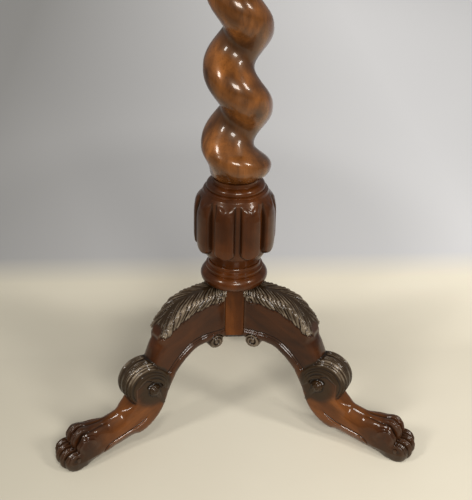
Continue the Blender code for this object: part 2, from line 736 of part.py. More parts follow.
def lobe_ring(core, crown, z):
    """A ring of round lobes that stand on a core, or a plain circle where they are equal."""
    pitch = 2 * math.pi / LOBE_COUNT
    half = (pitch - LOBE_GROOVE / CORE_RADIUS) / 2
    ring = []
    for k in range(LOBE_COUNT):
        middle = -math.pi / 2 + pitch * (k + 0.5)
        for across, share in LOBE_SECTION:
            radius = core + (crown - core) * share
            turn = middle + half * across
            ring.append((radius * math.cos(turn), radius * math.sin(turn), z))
    return ring


def collar_rings():
    bottom = COLLAR_BOTTOM_Z
    top = COLLAR_TOP_Z
    low = bottom + LOBE_FOOT
    high = top - LOBE_HEAD
    lobe = LOBE_RADIUS - CORE_RADIUS
    tucked = CORE_RADIUS - CORE_TUCK
    bead_z = top - COLLAR_BEAD_DROP
    bead = COLLAR_BEAD_RADIUS
    quirk = COLLAR_BEAD_HALF / 4

    foot = [(TENON_RADIUS, bottom - COLLAR_TENON_LENGTH), (TENON_RADIUS, bottom),
            (COLLAR_NECK_RADIUS, bottom),
            (COLLAR_NECK_RADIUS + COLLAR_FLARE, bottom + COLLAR_FLARE_HEIGHT),
            (tucked, low - LOBE_FOOT_TAPER)]
    head = [(tucked, high + LOBE_SHOULDER), (bead, bead_z - COLLAR_BEAD_HALF),
            (bead - quirk, bead_z - COLLAR_BEAD_HALF + quirk), (bead, bead_z),
            (bead - quirk, bead_z + COLLAR_BEAD_HALF), (COLLAR_TOP_RADIUS, top - COLLAR_RIM),
            (COLLAR_TOP_RADIUS, top)]
    lobes = [
        lobe_ring(tucked, tucked + lobe * 0.75, low),
        lobe_ring(CORE_RADIUS, LOBE_RADIUS - lobe * 0.13, low + LOBE_FOOT_ROUND * 0.4),
        lobe_ring(CORE_RADIUS, LOBE_RADIUS, low + LOBE_FOOT_ROUND),
        lobe_ring(CORE_RADIUS, LOBE_RADIUS, high - LOBE_SHOULDER * 0.4),
        lobe_ring(CORE_RADIUS - CORE_TUCK * 0.4, LOBE_RADIUS - lobe * 0.4, high + LOBE_SHOULDER * 0.3),
    ]
    return ([lobe_ring(radius, radius, z) for radius, z in foot] + lobes
            + [lobe_ring(radius, radius, z) for radius, z in head])


def build_collar():
    collar = add_part("lobed_collar", loft_mesh("lobed_collar", collar_rings()), base_empty, MAHOGANY, 0.22)
    floor = TWIST_BOTTOM_Z - TWIST_TENON_LENGTH - GAP
    cut(collar, rod_mesh("mortise", (0, 0, floor), (0, 0, COLLAR_TOP_Z + GAP), BORE_RADIUS))


# Barley-twist shaft with a tenon at each end

def twist_ring(z):
    """One eccentric section: the ridge winds to the left as it rises, and runs out at both ends."""
    near = min(z - TWIST_BOTTOM_Z, TWIST_TOP_Z - z)
    full = smoothstep((near - TWIST_FADE_START) / TWIST_FADE)
    rounded = math.sqrt(1 - (1 - min(near / TWIST_ROUND_OFF, 1.0)) ** 2)
    radius = TWIST_SECTION_RADIUS - TWIST_TAPER * (z - TWIST_BOTTOM_Z) + TWIST_END_SWELL * (1 - full)
    radius = TWIST_NECK_RADIUS + (radius - TWIST_NECK_RADIUS) * rounded
    offset = (TWIST_END_OFFSET + (TWIST_OFFSET - TWIST_END_OFFSET) * full) * rounded
    end_turn = math.radians(TWIST_END_TURN) * max(1 - near / TWIST_END_LENGTH, 0.0)
    if z > (TWIST_BOTTOM_Z + TWIST_TOP_Z) / 2:
        end_turn = -end_turn
    turn = 2 * math.pi * (TWIST_BOTTOM_Z + TWIST_RIDGE_RISE - z) / TWIST_PITCH + end_turn
    centre = (offset * math.cos(turn), offset * math.sin(turn))
    return circle(radius, z, TWIST_STEPS, centre)


def twist_heights():
    """Heights of the sections: close together where the ends round off, and then evenly spaced."""
    ends = [TWIST_ROUND_OFF * share for share in (0.0, 0.10, 0.35, 0.70)]
    middle = TWIST_LENGTH - 2 * TWIST_ROUND_OFF
    foot = TWIST_BOTTOM_Z + TWIST_ROUND_OFF
    heights = [TWIST_BOTTOM_Z + rise for rise in ends]
    heights += [foot + middle * i / TWIST_SECTIONS for i in range(TWIST_SECTIONS + 1)]
    heights += [TWIST_TOP_Z - drop for drop in reversed(ends)]
    return heights


def build_twist():
    foot = TWIST_BOTTOM_Z - TWIST_TENON_LENGTH
    head = TILT_BLOCK_TOP_Z
    rings = [circle(TENON_RADIUS, z, TWIST_STEPS) for z in (foot, TWIST_BOTTOM_Z)]
    rings += [twist_ring(z) for z in twist_heights()]
    rings += [circle(TENON_RADIUS, z, TWIST_STEPS) for z in (TWIST_TOP_Z, head)]
    shaft = add_part("twist_shaft", loft_mesh("twist_shaft", rings), base_empty, MAHOGANY, 0.20)

    half = WEDGE_THICKNESS / 2
    wide = TENON_RADIUS - WEDGE_INSET
    low = head - WEDGE_LENGTH
    cut(shaft, box_mesh("kerf", (-2 * TENON_RADIUS, -half - GAP, low - GAP),
                        (2 * TENON_RADIUS, half + GAP, head + GAP)))
    wedge = box_mesh("tenon_wedge", (-wide, -half, low), (wide, half, head))
    add_part("tenon_wedge", wedge, base_empty, MAHOGANY, 0.45)


# Turned upper collar

def build_upper_collar():
    bottom = UPPER_BOTTOM_Z
    top = UPPER_TOP_Z
    neck = TWIST_NECK_RADIUS + UPPER_NECK_STEP
    bead = UPPER_BEAD_RADIUS
    bead_z = bottom + UPPER_BEAD_RISE
    bead_half = UPPER_BEAD_HEIGHT / 2
    flange = UPPER_FLANGE_RADIUS
    flange_z = top - UPPER_FLANGE_HEIGHT
    lip = flange - UPPER_FLANGE_LIP
    cove_r = bead - UPPER_COVE_STEP
    cove_low = bead_z + bead_half + UPPER_COVE_STEP
    cove_rise = flange_z - UPPER_FLANGE_ROUND - cove_low
    cove_run = lip - cove_r
    cove = [(cove_r + cove_run * (1 - u), cove_low + cove_rise * v) for u, v in arc((0, 0), 1.0, 90, 0, 4)]
    profile = [(BORE_RADIUS, top), (flange - UPPER_FLANGE_ROUND / 2, top), (flange, top - UPPER_FLANGE_ROUND),
               (flange, flange_z), (lip, flange_z - UPPER_FLANGE_ROUND / 2)] + cove
    profile += [(cove_r, bead_z + bead_half), (bead, bead_z + bead_half / 2), (bead, bead_z - bead_half / 3),
                (neck + UPPER_COVE_STEP, bead_z - bead_half), (neck, bottom), (BORE_RADIUS, bottom)]
    mesh = turned_mesh("upper_collar", profile, ROUND_STEPS, True)
    add_part("upper_collar", mesh, base_empty, MAHOGANY, 0.22)


# Tilt block, its pivot pins and the keeper of the catch

def bolt_hole(play):
    """The bolt's section with some play: lowest and highest corner across X and Z."""
    half = BOLT_WIDTH / 2 + play
    return (-half, BOLT_BOTTOM_Z - play), (half, BOLT_TOP_Z + play)


def build_tilt_block():
    half = TILT_BLOCK_HALF
    low = TILT_BLOCK_BOTTOM_Z
    high = TILT_BLOCK_TOP_Z
    outline = [(half, low), (half, high)] + arc((PIVOT_Y, PIVOT_Z), NOSE_RADIUS, 90, 270, 10)
    block = add_part("tilt_block", side_outline_mesh("tilt_block", outline, half), base_empty, MAHOGANY, 0.35)
    cut(block, rod_mesh("bore", (0, 0, low - GAP), (0, 0, high + GAP), BORE_RADIUS))
    build_pins(block)
    build_keeper(block)


def build_pins(block):
    inner = TILT_BLOCK_HALF - PIN_IN_BLOCK
    outer = BEARER_X + BEARER_WIDTH / 2
    for name, side in (("pivot_pin_left", -1), ("pivot_pin_right", 1)):
        start = (side * inner, PIVOT_Y, PIVOT_Z)
        end = (side * outer, PIVOT_Y, PIVOT_Z)
        add_part(name, rod_mesh(name, start, end, PIN_RADIUS), base_empty, BRASS, 0.35, 1.0)
        hole_end = (side * (inner - GAP), PIVOT_Y, PIVOT_Z)
        cut(block, rod_mesh(name + "_hole", hole_end, end, PIN_RADIUS + GAP))


def build_keeper(block):
    """The brass plate in the block's back, with a hole for the bolt and a pocket behind it."""
    back = TILT_BLOCK_HALF
    seat = back - KEEPER_THICKNESS
    wide = KEEPER_WIDTH / 2
    low = TILT_BLOCK_BOTTOM_Z + KEEPER_MARGIN
    high = TILT_BLOCK_TOP_Z - KEEPER_MARGIN
    plate = box_mesh("keeper_plate", (-wide, seat, low), (wide, back, high))
    keeper = add_part("keeper_plate", plate, base_empty, BRASS, 0.3, 1.0)
    cut(block, box_mesh("keeper_recess", (-wide - GAP, seat - GAP, low - GAP),
                        (wide + GAP, back + GAP, high + GAP)))
    hole_low, hole_high = bolt_hole(2 * GAP)
    pocket = BOLT_FRONT_Y - 2 * GAP
    cut(keeper, box_mesh("bolt_hole", (hole_low[0], seat - GAP, hole_low[1]),
                         (hole_high[0], back + GAP, hole_high[1])))
    cut(block, box_mesh("bolt_pocket", (hole_low[0], pocket, hole_low[1]),
                        (hole_high[0], back + GAP, hole_high[1])))
    screw_x = wide - 2 * SMALL_HEAD_RADIUS
    screw_z = (low + hole_low[1]) / 2
    heads = [(side * screw_x, back, screw_z) for side in (-1, 1)]
    add_small_screws("keeper_screw", heads, (0, -1, 0), [keeper, block], base_empty, BRASS)


# Round top with a moulded edge

def build_top():
    low = TOP_UNDERSIDE_Z
    high = TOP_SURFACE_Z
    edge = TOP_RADIUS
    turn = min(TOP_EDGE_ROUND, TOP_THICKNESS * 0.4)
    cove = min(TOP_EDGE_COVE, TOP_THICKNESS * 0.3)
    upper = arc((edge - turn, high - turn), turn, 90, 0, 3)
    fillet = [(edge, low + cove + TOP_EDGE_FILLET), (edge - TOP_EDGE_STEP, low + cove + TOP_EDGE_FILLET / 2)]
    lower = arc((edge - cove - TOP_EDGE_STEP, low + cove), cove, 0, -90, 2)
    profile = [(0.0, high)] + upper + fillet + lower + [(0.0, low)]
    add_part("table_top", turned_mesh("table_top", profile, TOP_STEPS), tilt_empty, MAHOGANY, 0.18)


# Bearers under the top, and their screws

def bearer_screw_places():
    """Along each bearer: one near each end, one behind the pin, and one half way on to the far end."""
    end = BEARER_LENGTH / 2 - BEARER_SCREW_INSET
    behind_pin = PIVOT_Y + BEARER_SCREW_CLEAR
    return [-end, behind_pin, (behind_pin + end) / 2, end]


def build_bearers():
    top = TOP_UNDERSIDE_Z - GAP
    low = top - BEARER_HEIGHT
    end_low = top - BEARER_END_HEIGHT
    half = BEARER_LENGTH / 2
    run = half - BEARER_END_TAPER
    outline = [(-half, end_low), (-run, low), (run, low), (half, end_low), (half, top), (-half, top)]
    slope = (end_low - low) / BEARER_END_TAPER
    tip_z = TOP_UNDERSIDE_Z + TOP_THICKNESS / 2
    table_top = bpy.data.objects["table_top"]
    for label, side in (("left", -1), ("right", 1)):
        name = "bearer_" + label
        x = side * BEARER_X
        mesh = side_outline_mesh(name, outline, BEARER_WIDTH / 2, x)
        bearer = add_part(name, mesh, tilt_empty, MAHOGANY, 0.38)
        cut(bearer, rod_mesh("pin_hole", (x - BEARER_WIDTH, PIVOT_Y, PIVOT_Z),
                             (x + BEARER_WIDTH, PIVOT_Y, PIVOT_Z), PIN_RADIUS + GAP))
        for number, y in enumerate(bearer_screw_places(), 1):
            head_z = low + max(abs(y) - run, 0.0) * slope
            sizes = (LARGE_HEAD_RADIUS, LARGE_SHANK_RADIUS, tip_z - head_z)
            add_screw(f"bearer_screw_{label}_{number}", (0, 0, 1), (x, y, head_z), sizes,
                      [bearer, table_top], tilt_empty, STEEL)


# Brass catch under the top

def build_catch_case():
    half = CATCH_WIDTH / 2
    front = CATCH_FRONT_Y
    back = CATCH_BACK_Y
    low = CATCH_BOTTOM_Z
    high = CATCH_TOP_Z
    case = add_part("catch_case", box_mesh("catch_case", (-half, front, low), (half, back, high)),
                    tilt_empty, BRASS, 0.32, 1.0)
    wide = half + CATCH_FLANGE
    flange_z = high - CATCH_FLANGE_THICKNESS
    cut(case, box_mesh("flange", (-wide, front + GAP, flange_z), (wide, back - GAP, high - GAP)), "UNION")
    hole_low, hole_high = bolt_hole(GAP)
    cut(case, box_mesh("channel", (hole_low[0], front - GAP, hole_low[1]),
                       (hole_high[0], SPRING_SEAT_Y, hole_high[1])))
    stem = KNOB_STEM_RADIUS + 2 * GAP
    cut(case, box_mesh("knob_slot", (-stem, KNOB_Y - stem, low - GAP),
                       (stem, KNOB_Y + BOLT_TRAVEL + stem, BOLT_TOP_Z)))
    screw_x = half + CATCH_FLANGE / 2
    rows = (front + CATCH_SCREW_INSET, back - CATCH_SCREW_INSET)
    heads = [(x, y, flange_z) for x in (-screw_x, screw_x) for y in rows]
    table_top = bpy.data.objects["table_top"]
    add_small_screws("catch_screw", heads, (0, 0, 1), [case, table_top], tilt_empty, BRASS)


def build_bolt():
    """The sliding bolt, bevelled at its nose."""
    outline = [(BOLT_FRONT_Y, BOLT_TOP_Z), (BOLT_FRONT_Y, BOLT_TOP_Z - BOLT_NOSE),
               (BOLT_FRONT_Y + BOLT_BEVEL, BOLT_BOTTOM_Z), (BOLT_BACK_Y, BOLT_BOTTOM_Z),
               (BOLT_BACK_Y, BOLT_TOP_Z)]
    mesh = side_outline_mesh("catch_bolt", outline, BOLT_WIDTH / 2)
    bolt = add_part("catch_bolt", mesh, bolt_empty, BRASS, 0.25, 1.0)
    socket = BOLT_BOTTOM_Z + BOLT_HEIGHT / 2
    cut(bolt, rod_mesh("stem_socket", (0, KNOB_Y, BOLT_BOTTOM_Z - GAP), (0, KNOB_Y, socket + GAP),
                       KNOB_STEM_RADIUS + GAP))


def build_knob():
    """The knob that draws the bolt back, on a stem that is set in the bolt."""
    socket = BOLT_BOTTOM_Z + BOLT_HEIGHT / 2
    neck = CATCH_BOTTOM_Z - KNOB_STEM_LENGTH
    half = KNOB_HEIGHT / 2
    ball = [(KNOB_RADIUS * u, neck - half + half * v) for u, v in arc((0, 0), 1.0, 60, -60, 4)]
    profile = [(0.0, socket), (KNOB_STEM_RADIUS, socket), (KNOB_STEM_RADIUS, neck)] + ball
    profile.append((0.0, neck - KNOB_HEIGHT))
    mesh = turned_mesh("catch_knob", profile, ROD_STEPS)
    mesh.transform(Matrix.Translation((0, KNOB_Y, 0)))
    add_part("catch_knob", mesh, bolt_empty, BRASS, 0.22, 1.0)


def build_spring():
    """A coil between the bolt's tail and the back wall of the case."""
    start = BOLT_BACK_Y + SPRING_WIRE / 2 + GAP
    end = SPRING_SEAT_Y - SPRING_WIRE / 2 - GAP
    middle = (BOLT_BOTTOM_Z + BOLT_TOP_Z) / 2
    steps = COIL_STEPS * SPRING_TURNS
    curve = bpy.data.curves.new("catch_spring", "CURVE")
    curve.dimensions = "3D"
    curve.bevel_depth = SPRING_WIRE / 2
    curve.bevel_resolution = 1
    curve.use_fill_caps = True
    spline = curve.splines.new("POLY")
    spline.points.add(steps)
    for i, point in enumerate(spline.points):
        a = 2 * math.pi * i / COIL_STEPS
        y = start + (end - start) * i / steps
        point.co = (SPRING_RADIUS * math.cos(a), y, middle + SPRING_RADIUS * math.sin(a), 1.0)
    mesh = solid_of_curve(curve, "catch_spring", Matrix.Identity(4))
    add_part("catch_spring", mesh, tilt_empty, STEEL, 0.35, 1.0)
    turn_gap = (end - start) / SPRING_TURNS - SPRING_WIRE
    print(f"catch spring: least gap between turns {turn_gap * 1000:.2f} mm")


build_block()
build_legs()
build_under_plate()
build_lower_ring()
build_collar()
build_twist()
build_upper_collar()
build_tilt_block()
build_top()
build_bearers()
build_catch_case()
build_bolt()
build_knob()
build_spring()
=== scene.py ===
"""Looks of a tilt-top tripod table in polished mahogany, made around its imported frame."""

import json
import math

import bmesh
import bpy
import numpy as np
import openvdb
from mathutils import Matrix, Vector


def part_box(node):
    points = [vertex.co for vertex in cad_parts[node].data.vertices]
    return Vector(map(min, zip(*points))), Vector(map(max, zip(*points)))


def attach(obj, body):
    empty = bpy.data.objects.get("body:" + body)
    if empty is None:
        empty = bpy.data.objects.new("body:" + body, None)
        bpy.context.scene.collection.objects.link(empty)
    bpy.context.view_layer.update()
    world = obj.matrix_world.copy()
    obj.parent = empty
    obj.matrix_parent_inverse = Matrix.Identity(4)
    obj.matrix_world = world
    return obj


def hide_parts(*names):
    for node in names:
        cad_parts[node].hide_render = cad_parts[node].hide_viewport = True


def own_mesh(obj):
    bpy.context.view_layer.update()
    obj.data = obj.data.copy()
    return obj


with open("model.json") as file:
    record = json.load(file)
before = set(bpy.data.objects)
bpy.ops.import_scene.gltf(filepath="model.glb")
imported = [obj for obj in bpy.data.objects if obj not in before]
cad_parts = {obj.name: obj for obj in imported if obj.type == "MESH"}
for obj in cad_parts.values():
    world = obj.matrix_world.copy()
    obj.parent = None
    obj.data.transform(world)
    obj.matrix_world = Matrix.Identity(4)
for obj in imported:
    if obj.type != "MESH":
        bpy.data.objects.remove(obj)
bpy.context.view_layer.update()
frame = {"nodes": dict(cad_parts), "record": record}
nodes = frame["nodes"]

MM = 0.001
GAP = 0.0003

# Levels of the turned pieces, from the frame. The collar's head sits a little lower than its solid.
RING_LOW, RING_HIGH = [corner.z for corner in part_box("lower_ring")]
COLLAR_LOW = RING_HIGH + GAP
COLLAR_DIP = 0.0032
COLLAR_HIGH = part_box("lobed_collar")[1].z - COLLAR_DIP
TWIST_LOW = COLLAR_HIGH + GAP
UPPER_LOW, UPPER_HIGH = [corner.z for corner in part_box("upper_collar")]
TWIST_HIGH = UPPER_LOW - GAP
TOP_LOW, TOP_HIGH = [corner.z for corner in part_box("table_top")]
TOP_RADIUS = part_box("table_top")[1].x
TENON_LOW, TENON_HIGH = [corner.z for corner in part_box("twist_shaft")]
TENON_RADIUS = 0.0120
BORE_RADIUS = TENON_RADIUS + GAP


# Curves and profiles

def smoothstep(x):
    x = np.clip(x, 0.0, 1.0)
    return x * x * (3.0 - 2.0 * x)


def rise(x, start, length):
    """A smooth step from 0 at start to 1 a length further on."""
    return smoothstep((x - start) / length)


def fall(x, end, length):
    """A smooth step from 1, a length before end, to 0 at end."""
    return smoothstep((end - x) / length)


def bell(x, width):
    """1 where x is 0, and fading to both sides."""
    return np.exp(-(x / width) ** 2)


def ridges(x, lines):
    """Ridges and grooves, each with its height, place and width."""
    return sum(height * bell(x - place, width) for height, place, width in lines)


def smooth_max(a, b, k):
    near = np.maximum(k - np.abs(a - b), 0.0)
    return np.maximum(a, b) + near * near / (4 * k)


def smooth_min(a, b, k):
    return -smooth_max(-a, -b, k)


def table(pairs, x):
    return np.interp(x, [p[0] for p in pairs], [p[1] for p in pairs]).astype(np.float32)


def radius_at(profile, z, left=None):
    """Radius of a profile at a height, and left below its foot."""
    return np.interp(z, [p[1] for p in profile], [p[0] for p in profile], left=left)


def curve_through(points, steps):
    """A smooth path through all the points."""
    points = [np.array(p, float) for p in points]
    ends = [2 * points[0] - points[1]] + points + [2 * points[-1] - points[-2]]
    path = []
    for a, b, c, d in zip(ends, ends[1:], ends[2:], ends[3:]):
        for i in range(steps):
            t = i / steps
            path.append(0.5 * (2 * b + (c - a) * t + (2 * a - 5 * b + 4 * c - d) * t ** 2
                               + (3 * b - a - 3 * c + d) * t ** 3))
    return path + [points[-1]]


def arc(centre, radii, start, end, steps):
    """Points of an arc, from one angle to another in degrees."""
    turns = [math.radians(start + (end - start) * i / steps) for i in range(steps + 1)]
    return [(centre[0] + radii[0] * math.cos(a), centre[1] + radii[1] * math.sin(a)) for a in turns]


# Meshes

LEAST_RADIUS = 0.00005


def new_piece(name, mesh, material, sharp=40.0):
    """An object for a mesh, shaded smooth but for its sharp edges."""
    mesh.shade_smooth()
    mesh.set_sharp_from_angle(angle=math.radians(sharp))
    piece = bpy.data.objects.new(name, mesh)
    bpy.context.scene.collection.objects.link(piece)
    mesh.materials.clear()
    mesh.materials.append(material)
    return piece


def loft(name, rings, closed=False):
    """A skin over rings of equal count: capped at both ends, or joined end to end."""
    count = len(rings[0])
    points = [tuple(p) for ring in rings for p in ring]
    faces = []
    for i in range(len(rings) if closed else len(rings) - 1):
        low = i * count
        high = (i + 1) % len(rings) * count
        for j in range(count):
            k = (j + 1) % count
            faces.append((low + j, low + k, high + k, high + j))
    if not closed:
        faces.append(tuple(reversed(range(count))))
        faces.append(tuple(range(len(points) - count, len(points))))
    mesh = bpy.data.meshes.new(name)
    mesh.from_pydata(points, [], faces)
    mesh.validate()
    return mesh


def label(mesh, name, values):
    """Keeps a number for each point, for the materials."""
    layer = mesh.attributes.new(name, "FLOAT", "POINT")
    layer.data.foreach_set("value", np.asarray(values, np.float32))


def circle(radius, z, steps):
    turns = [2 * math.pi * i / steps for i in range(steps)]
    return [(radius * math.cos(a), radius * math.sin(a), z) for a in turns]


def turned(name, profile, low, steps, closed=False):
    """A turned shape from its profile of radii and heights over its foot, listed from the bottom up."""
    return loft(name, [circle(max(r, LEAST_RADIUS), low + z, steps) for r, z in profile], closed)


def cut_away(piece, low, high):
    """Cuts a box out of a piece."""
    mesh = bpy.data.meshes.new("cut")
    shape = bmesh.new()
    size = Vector(high) - Vector(low)
    place = Matrix.Translation((Vector(low) + Vector(high)) / 2) @ Matrix.Diagonal((*size, 1.0))
    bmesh.ops.create_cube(shape, size=1.0, matrix=place)
    shape.to_mesh(mesh)
    shape.free()
    cutter = bpy.data.objects.new("cut", mesh)
    bpy.context.scene.collection.objects.link(cutter)
    cutting = piece.modifiers.new("cut", "BOOLEAN")
    cutting.object = cutter
    cutting.solver = "EXACT"
    bpy.context.view_layer.update()
    evaluated = piece.evaluated_get(bpy.context.evaluated_depsgraph_get())
    result = bpy.data.meshes.new_from_object(evaluated)
    piece.modifiers.clear()
    piece.data = result
    bpy.data.objects.remove(cutter)


def dress(piece, body, solid):
    """Seats a finished piece: it rides on its body and stands for its solid."""
    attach(piece, body)
    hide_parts(solid)


# Shader nodes

def colour(r, g, b):
    return (r, g, b, 1.0)


def node(tree, kind, sockets=None, **settings):
    """A shader node: its settings, and its sockets, each a value or another node's output."""
    made = tree.nodes.new(kind)
    for key, value in settings.items():
        setattr(made, key, value)
    for key, value in (sockets or {}).items():
        if isinstance(value, bpy.types.NodeSocket):
            tree.links.new(value, made.inputs[key])
        else:
            made.inputs[key].default_value = value
    return made


def mix(tree, share, a, b, blend="MIX"):
    made = node(tree, "ShaderNodeMix", {0: share, 6: a, 7: b}, data_type="RGBA", blend_type=blend)
    return made.outputs[2]


def ranged(tree, value, low, high, to_low=0.0, to_high=1.0):
    """A value mapped from one range to another, and held inside it."""
    made = node(tree, "ShaderNodeMapRange", {"Value": value, "From Min": low, "From Max": high,
                                             "To Min": to_low, "To Max": to_high})
    return made.outputs["Result"]


def maths(tree, operation, a, b):
    return node(tree, "ShaderNodeMath", {0: a, 1: b}, operation=operation).outputs[0]


def times(tree, a, b):
    return maths(tree, "MULTIPLY", a, b)


def noise(tree, place, scale, detail, roughness=0.55, distortion=0.0):
    made = node(tree, "ShaderNodeTexNoise", {"Vector": place, "Scale": scale, "Detail": detail,
                                             "Roughness": roughness, "Distortion": distortion})
    return made.outputs["Fac"]


def attribute(tree, name):
    return node(tree, "ShaderNodeAttribute", attribute_name=name).outputs["Fac"]


def own_place(tree):
    return node(tree, "ShaderNodeTexCoord").outputs["Object"]


def stretched(tree, turn, scale):
    """Object coordinates, turned and then stretched along the grain."""
    chance = node(tree, "ShaderNodeObjectInfo").outputs["Random"]
    shift = node(tree, "ShaderNodeCombineXYZ", {"X": chance, "Y": chance, "Z": chance}).outputs[0]
    moved = node(tree, "ShaderNodeVectorMath", {0: own_place(tree), 1: shift}, operation="ADD").outputs[0]
    along = node(tree, "ShaderNodeMapping", {"Vector": moved, "Rotation": turn}, vector_type="TEXTURE")
    return node(tree, "ShaderNodeMapping", {"Vector": along.outputs[0], "Scale": scale}).outputs[0]


def new_material(name):
    material = bpy.data.materials.new(name)
    material.use_nodes = True
    tree = material.node_tree
    return material, tree, tree.nodes["Principled BSDF"]


def add_bump(tree, shader, height, strength, distance):
    bump = node(tree, "ShaderNodeBump", {"Height": height, "Strength": strength, "Distance": distance})
    tree.links.new(bump.outputs["Normal"], shader.inputs["Normal"])


# Woods and metals: how far each pattern is stretched, the tints of age, and painted shade, sheen and glints

STREAKS = (70.0, 70.0, 5.0)
MOTTLES = (34.0, 34.0, 17.0)
PORES = (900.0, 900.0, 34.0)
HAND_MARKS = (110.0, 110.0, 40.0)
STREAK_RANGE = (0.30, 0.72)
MOTTLE_RANGE = (0.34, 0.66)
PORE_RANGE = (0.56, 0.70)
MOTTLE_LIFT = 0.7
MOTTLE_GREEN, MOTTLE_BLUE = 0.93, 0.85
HAND_DEPTH = 0.6
PORE_DEPTH = 0.12
WOOD_BUMP = (0.06, 0.0008)
PORE_TINT = colour(0.010, 0.004, 0.002)
POLISH_TINT = colour(1.0, 0.80, 0.60)
POLISH_RANGE = (0.30, 0.70)
POLISH_SPREAD = 0.05
COAT_ROUGHNESS = 0.07
# Dark wax in the turnings' hollows, which also stands as painted shade there
WAX_AND_SHADE_TINT = colour(0.0120, 0.0042, 0.0016)
WAX_AND_SHADE_SHARE = 0.80
WAX_ROUGHNESS = 0.15
# Lighter and greyer wood low on the leg: wear, and a painted broad sheen
SHANK_WEAR_AND_SHEEN = colour(2.90, 3.45, 4.30)
SHANK_BELOW = (0.095, 0.060)
SHANK_WITHIN = (0.205, 0.170)
FOOT_TINT = colour(0.0185, 0.0108, 0.0044)
FOOT_SHARE = 0.70
FOOT_BELOW = (0.032, 0.006)
FOOT_BEYOND = (0.165, 0.205)
SKIN_TINT = colour(0.0190, 0.0110, 0.0040)
SKIN_SHARE = 0.88
# Ridges worn lighter, in patches that also stand as painted glints
RIDGE_WEAR_AND_GLINT_TINT = colour(0.205, 0.162, 0.114)
RIDGE_RELIEF = (0.06, 0.36)
RIDGE_SHARES = (0.08, 0.85)
RIDGE_PATCHES = 95.0
RIDGE_WEAR_AND_GLINT_RANGE = (0.36, 0.62, 0.25, 1.0)
# Dark dirt in the carving's hollows, which also stands as painted shade there
GRIME_AND_SHADE_TINT = colour(0.0070, 0.0036, 0.0020)
GRIME_AND_SHADE_RELIEF = (-0.05, -0.42)
GRIME_AND_SHADE_SHARES = (0.72, 0.95)
GRIME_ROUGHNESS = 0.25
TARNISH_PATCHES = 90.0
TARNISH_RANGE = (0.40, 0.68)
TARNISH_ROUGHNESS = 0.22
DULLING_RANGE = (0.35, 0.70)
SCRATCH_ROUGHNESS = 0.10
METAL_BUMP = (0.12, 0.0004)


def wood(name, dark, light, turn=(0.0, 0.0, 0.0), gloss=0.26, shine=0.14, coat=0.12, pore=0.35,
         mottling=0.40, ageing_and_shading=None):
    """Polished mahogany: streaked grain along its own Z, dark pores, soft mottling and an uneven polish."""
    material, tree, shader = new_material(name)
    streaks = noise(tree, stretched(tree, turn, STREAKS), 1.0, 6.0, roughness=0.6, distortion=0.6)
    mottle = noise(tree, stretched(tree, turn, MOTTLES), 1.0, 4.0, distortion=0.5)
    pores = ranged(tree, noise(tree, stretched(tree, turn, PORES), 1.0, 2.0, roughness=0.5), *PORE_RANGE)
    hand = noise(tree, stretched(tree, turn, HAND_MARKS), 1.0, 2.0)
    grain = mix(tree, ranged(tree, streaks, *STREAK_RANGE), dark, light)
    low = 1.0 - mottling
    high = 1.0 + MOTTLE_LIFT * mottling
    clouds = ranged(tree, mottle, *MOTTLE_RANGE)
    shade = mix(tree, clouds, colour(low, MOTTLE_GREEN * low, MOTTLE_BLUE * low), colour(high, high, high))
    base = mix(tree, 1.0, grain, shade, "MULTIPLY")
    base = mix(tree, times(tree, pores, pore), base, PORE_TINT)
    rough = ranged(tree, mottle, *POLISH_RANGE, gloss + POLISH_SPREAD, gloss - POLISH_SPREAD)
    if ageing_and_shading:
        base, rough = ageing_and_shading(tree, base, rough)
    tree.links.new(base, shader.inputs["Base Color"])
    tree.links.new(rough, shader.inputs["Roughness"])
    height = maths(tree, "SUBTRACT", times(tree, hand, HAND_DEPTH), times(tree, pores, PORE_DEPTH))
    add_bump(tree, shader, height, *WOOD_BUMP)
    shader.inputs["Coat Weight"].default_value = coat
    shader.inputs["Coat Roughness"].default_value = COAT_ROUGHNESS
    shader.inputs["Specular IOR Level"].default_value = shine
    shader.inputs["Specular Tint"].default_value = POLISH_TINT
    return material


def wax_and_shade(tree, base, rough):
    """Turning: old dark wax in the hollows, and painted shade there too."""
    hollow = attribute(tree, "hollow")
    # Darker in the hollows: dark wax and painted shade
    base = mix(tree, times(tree, hollow, WAX_AND_SHADE_SHARE), base, WAX_AND_SHADE_TINT)
    return base, maths(tree, "ADD", rough, times(tree, hollow, WAX_ROUGHNESS))


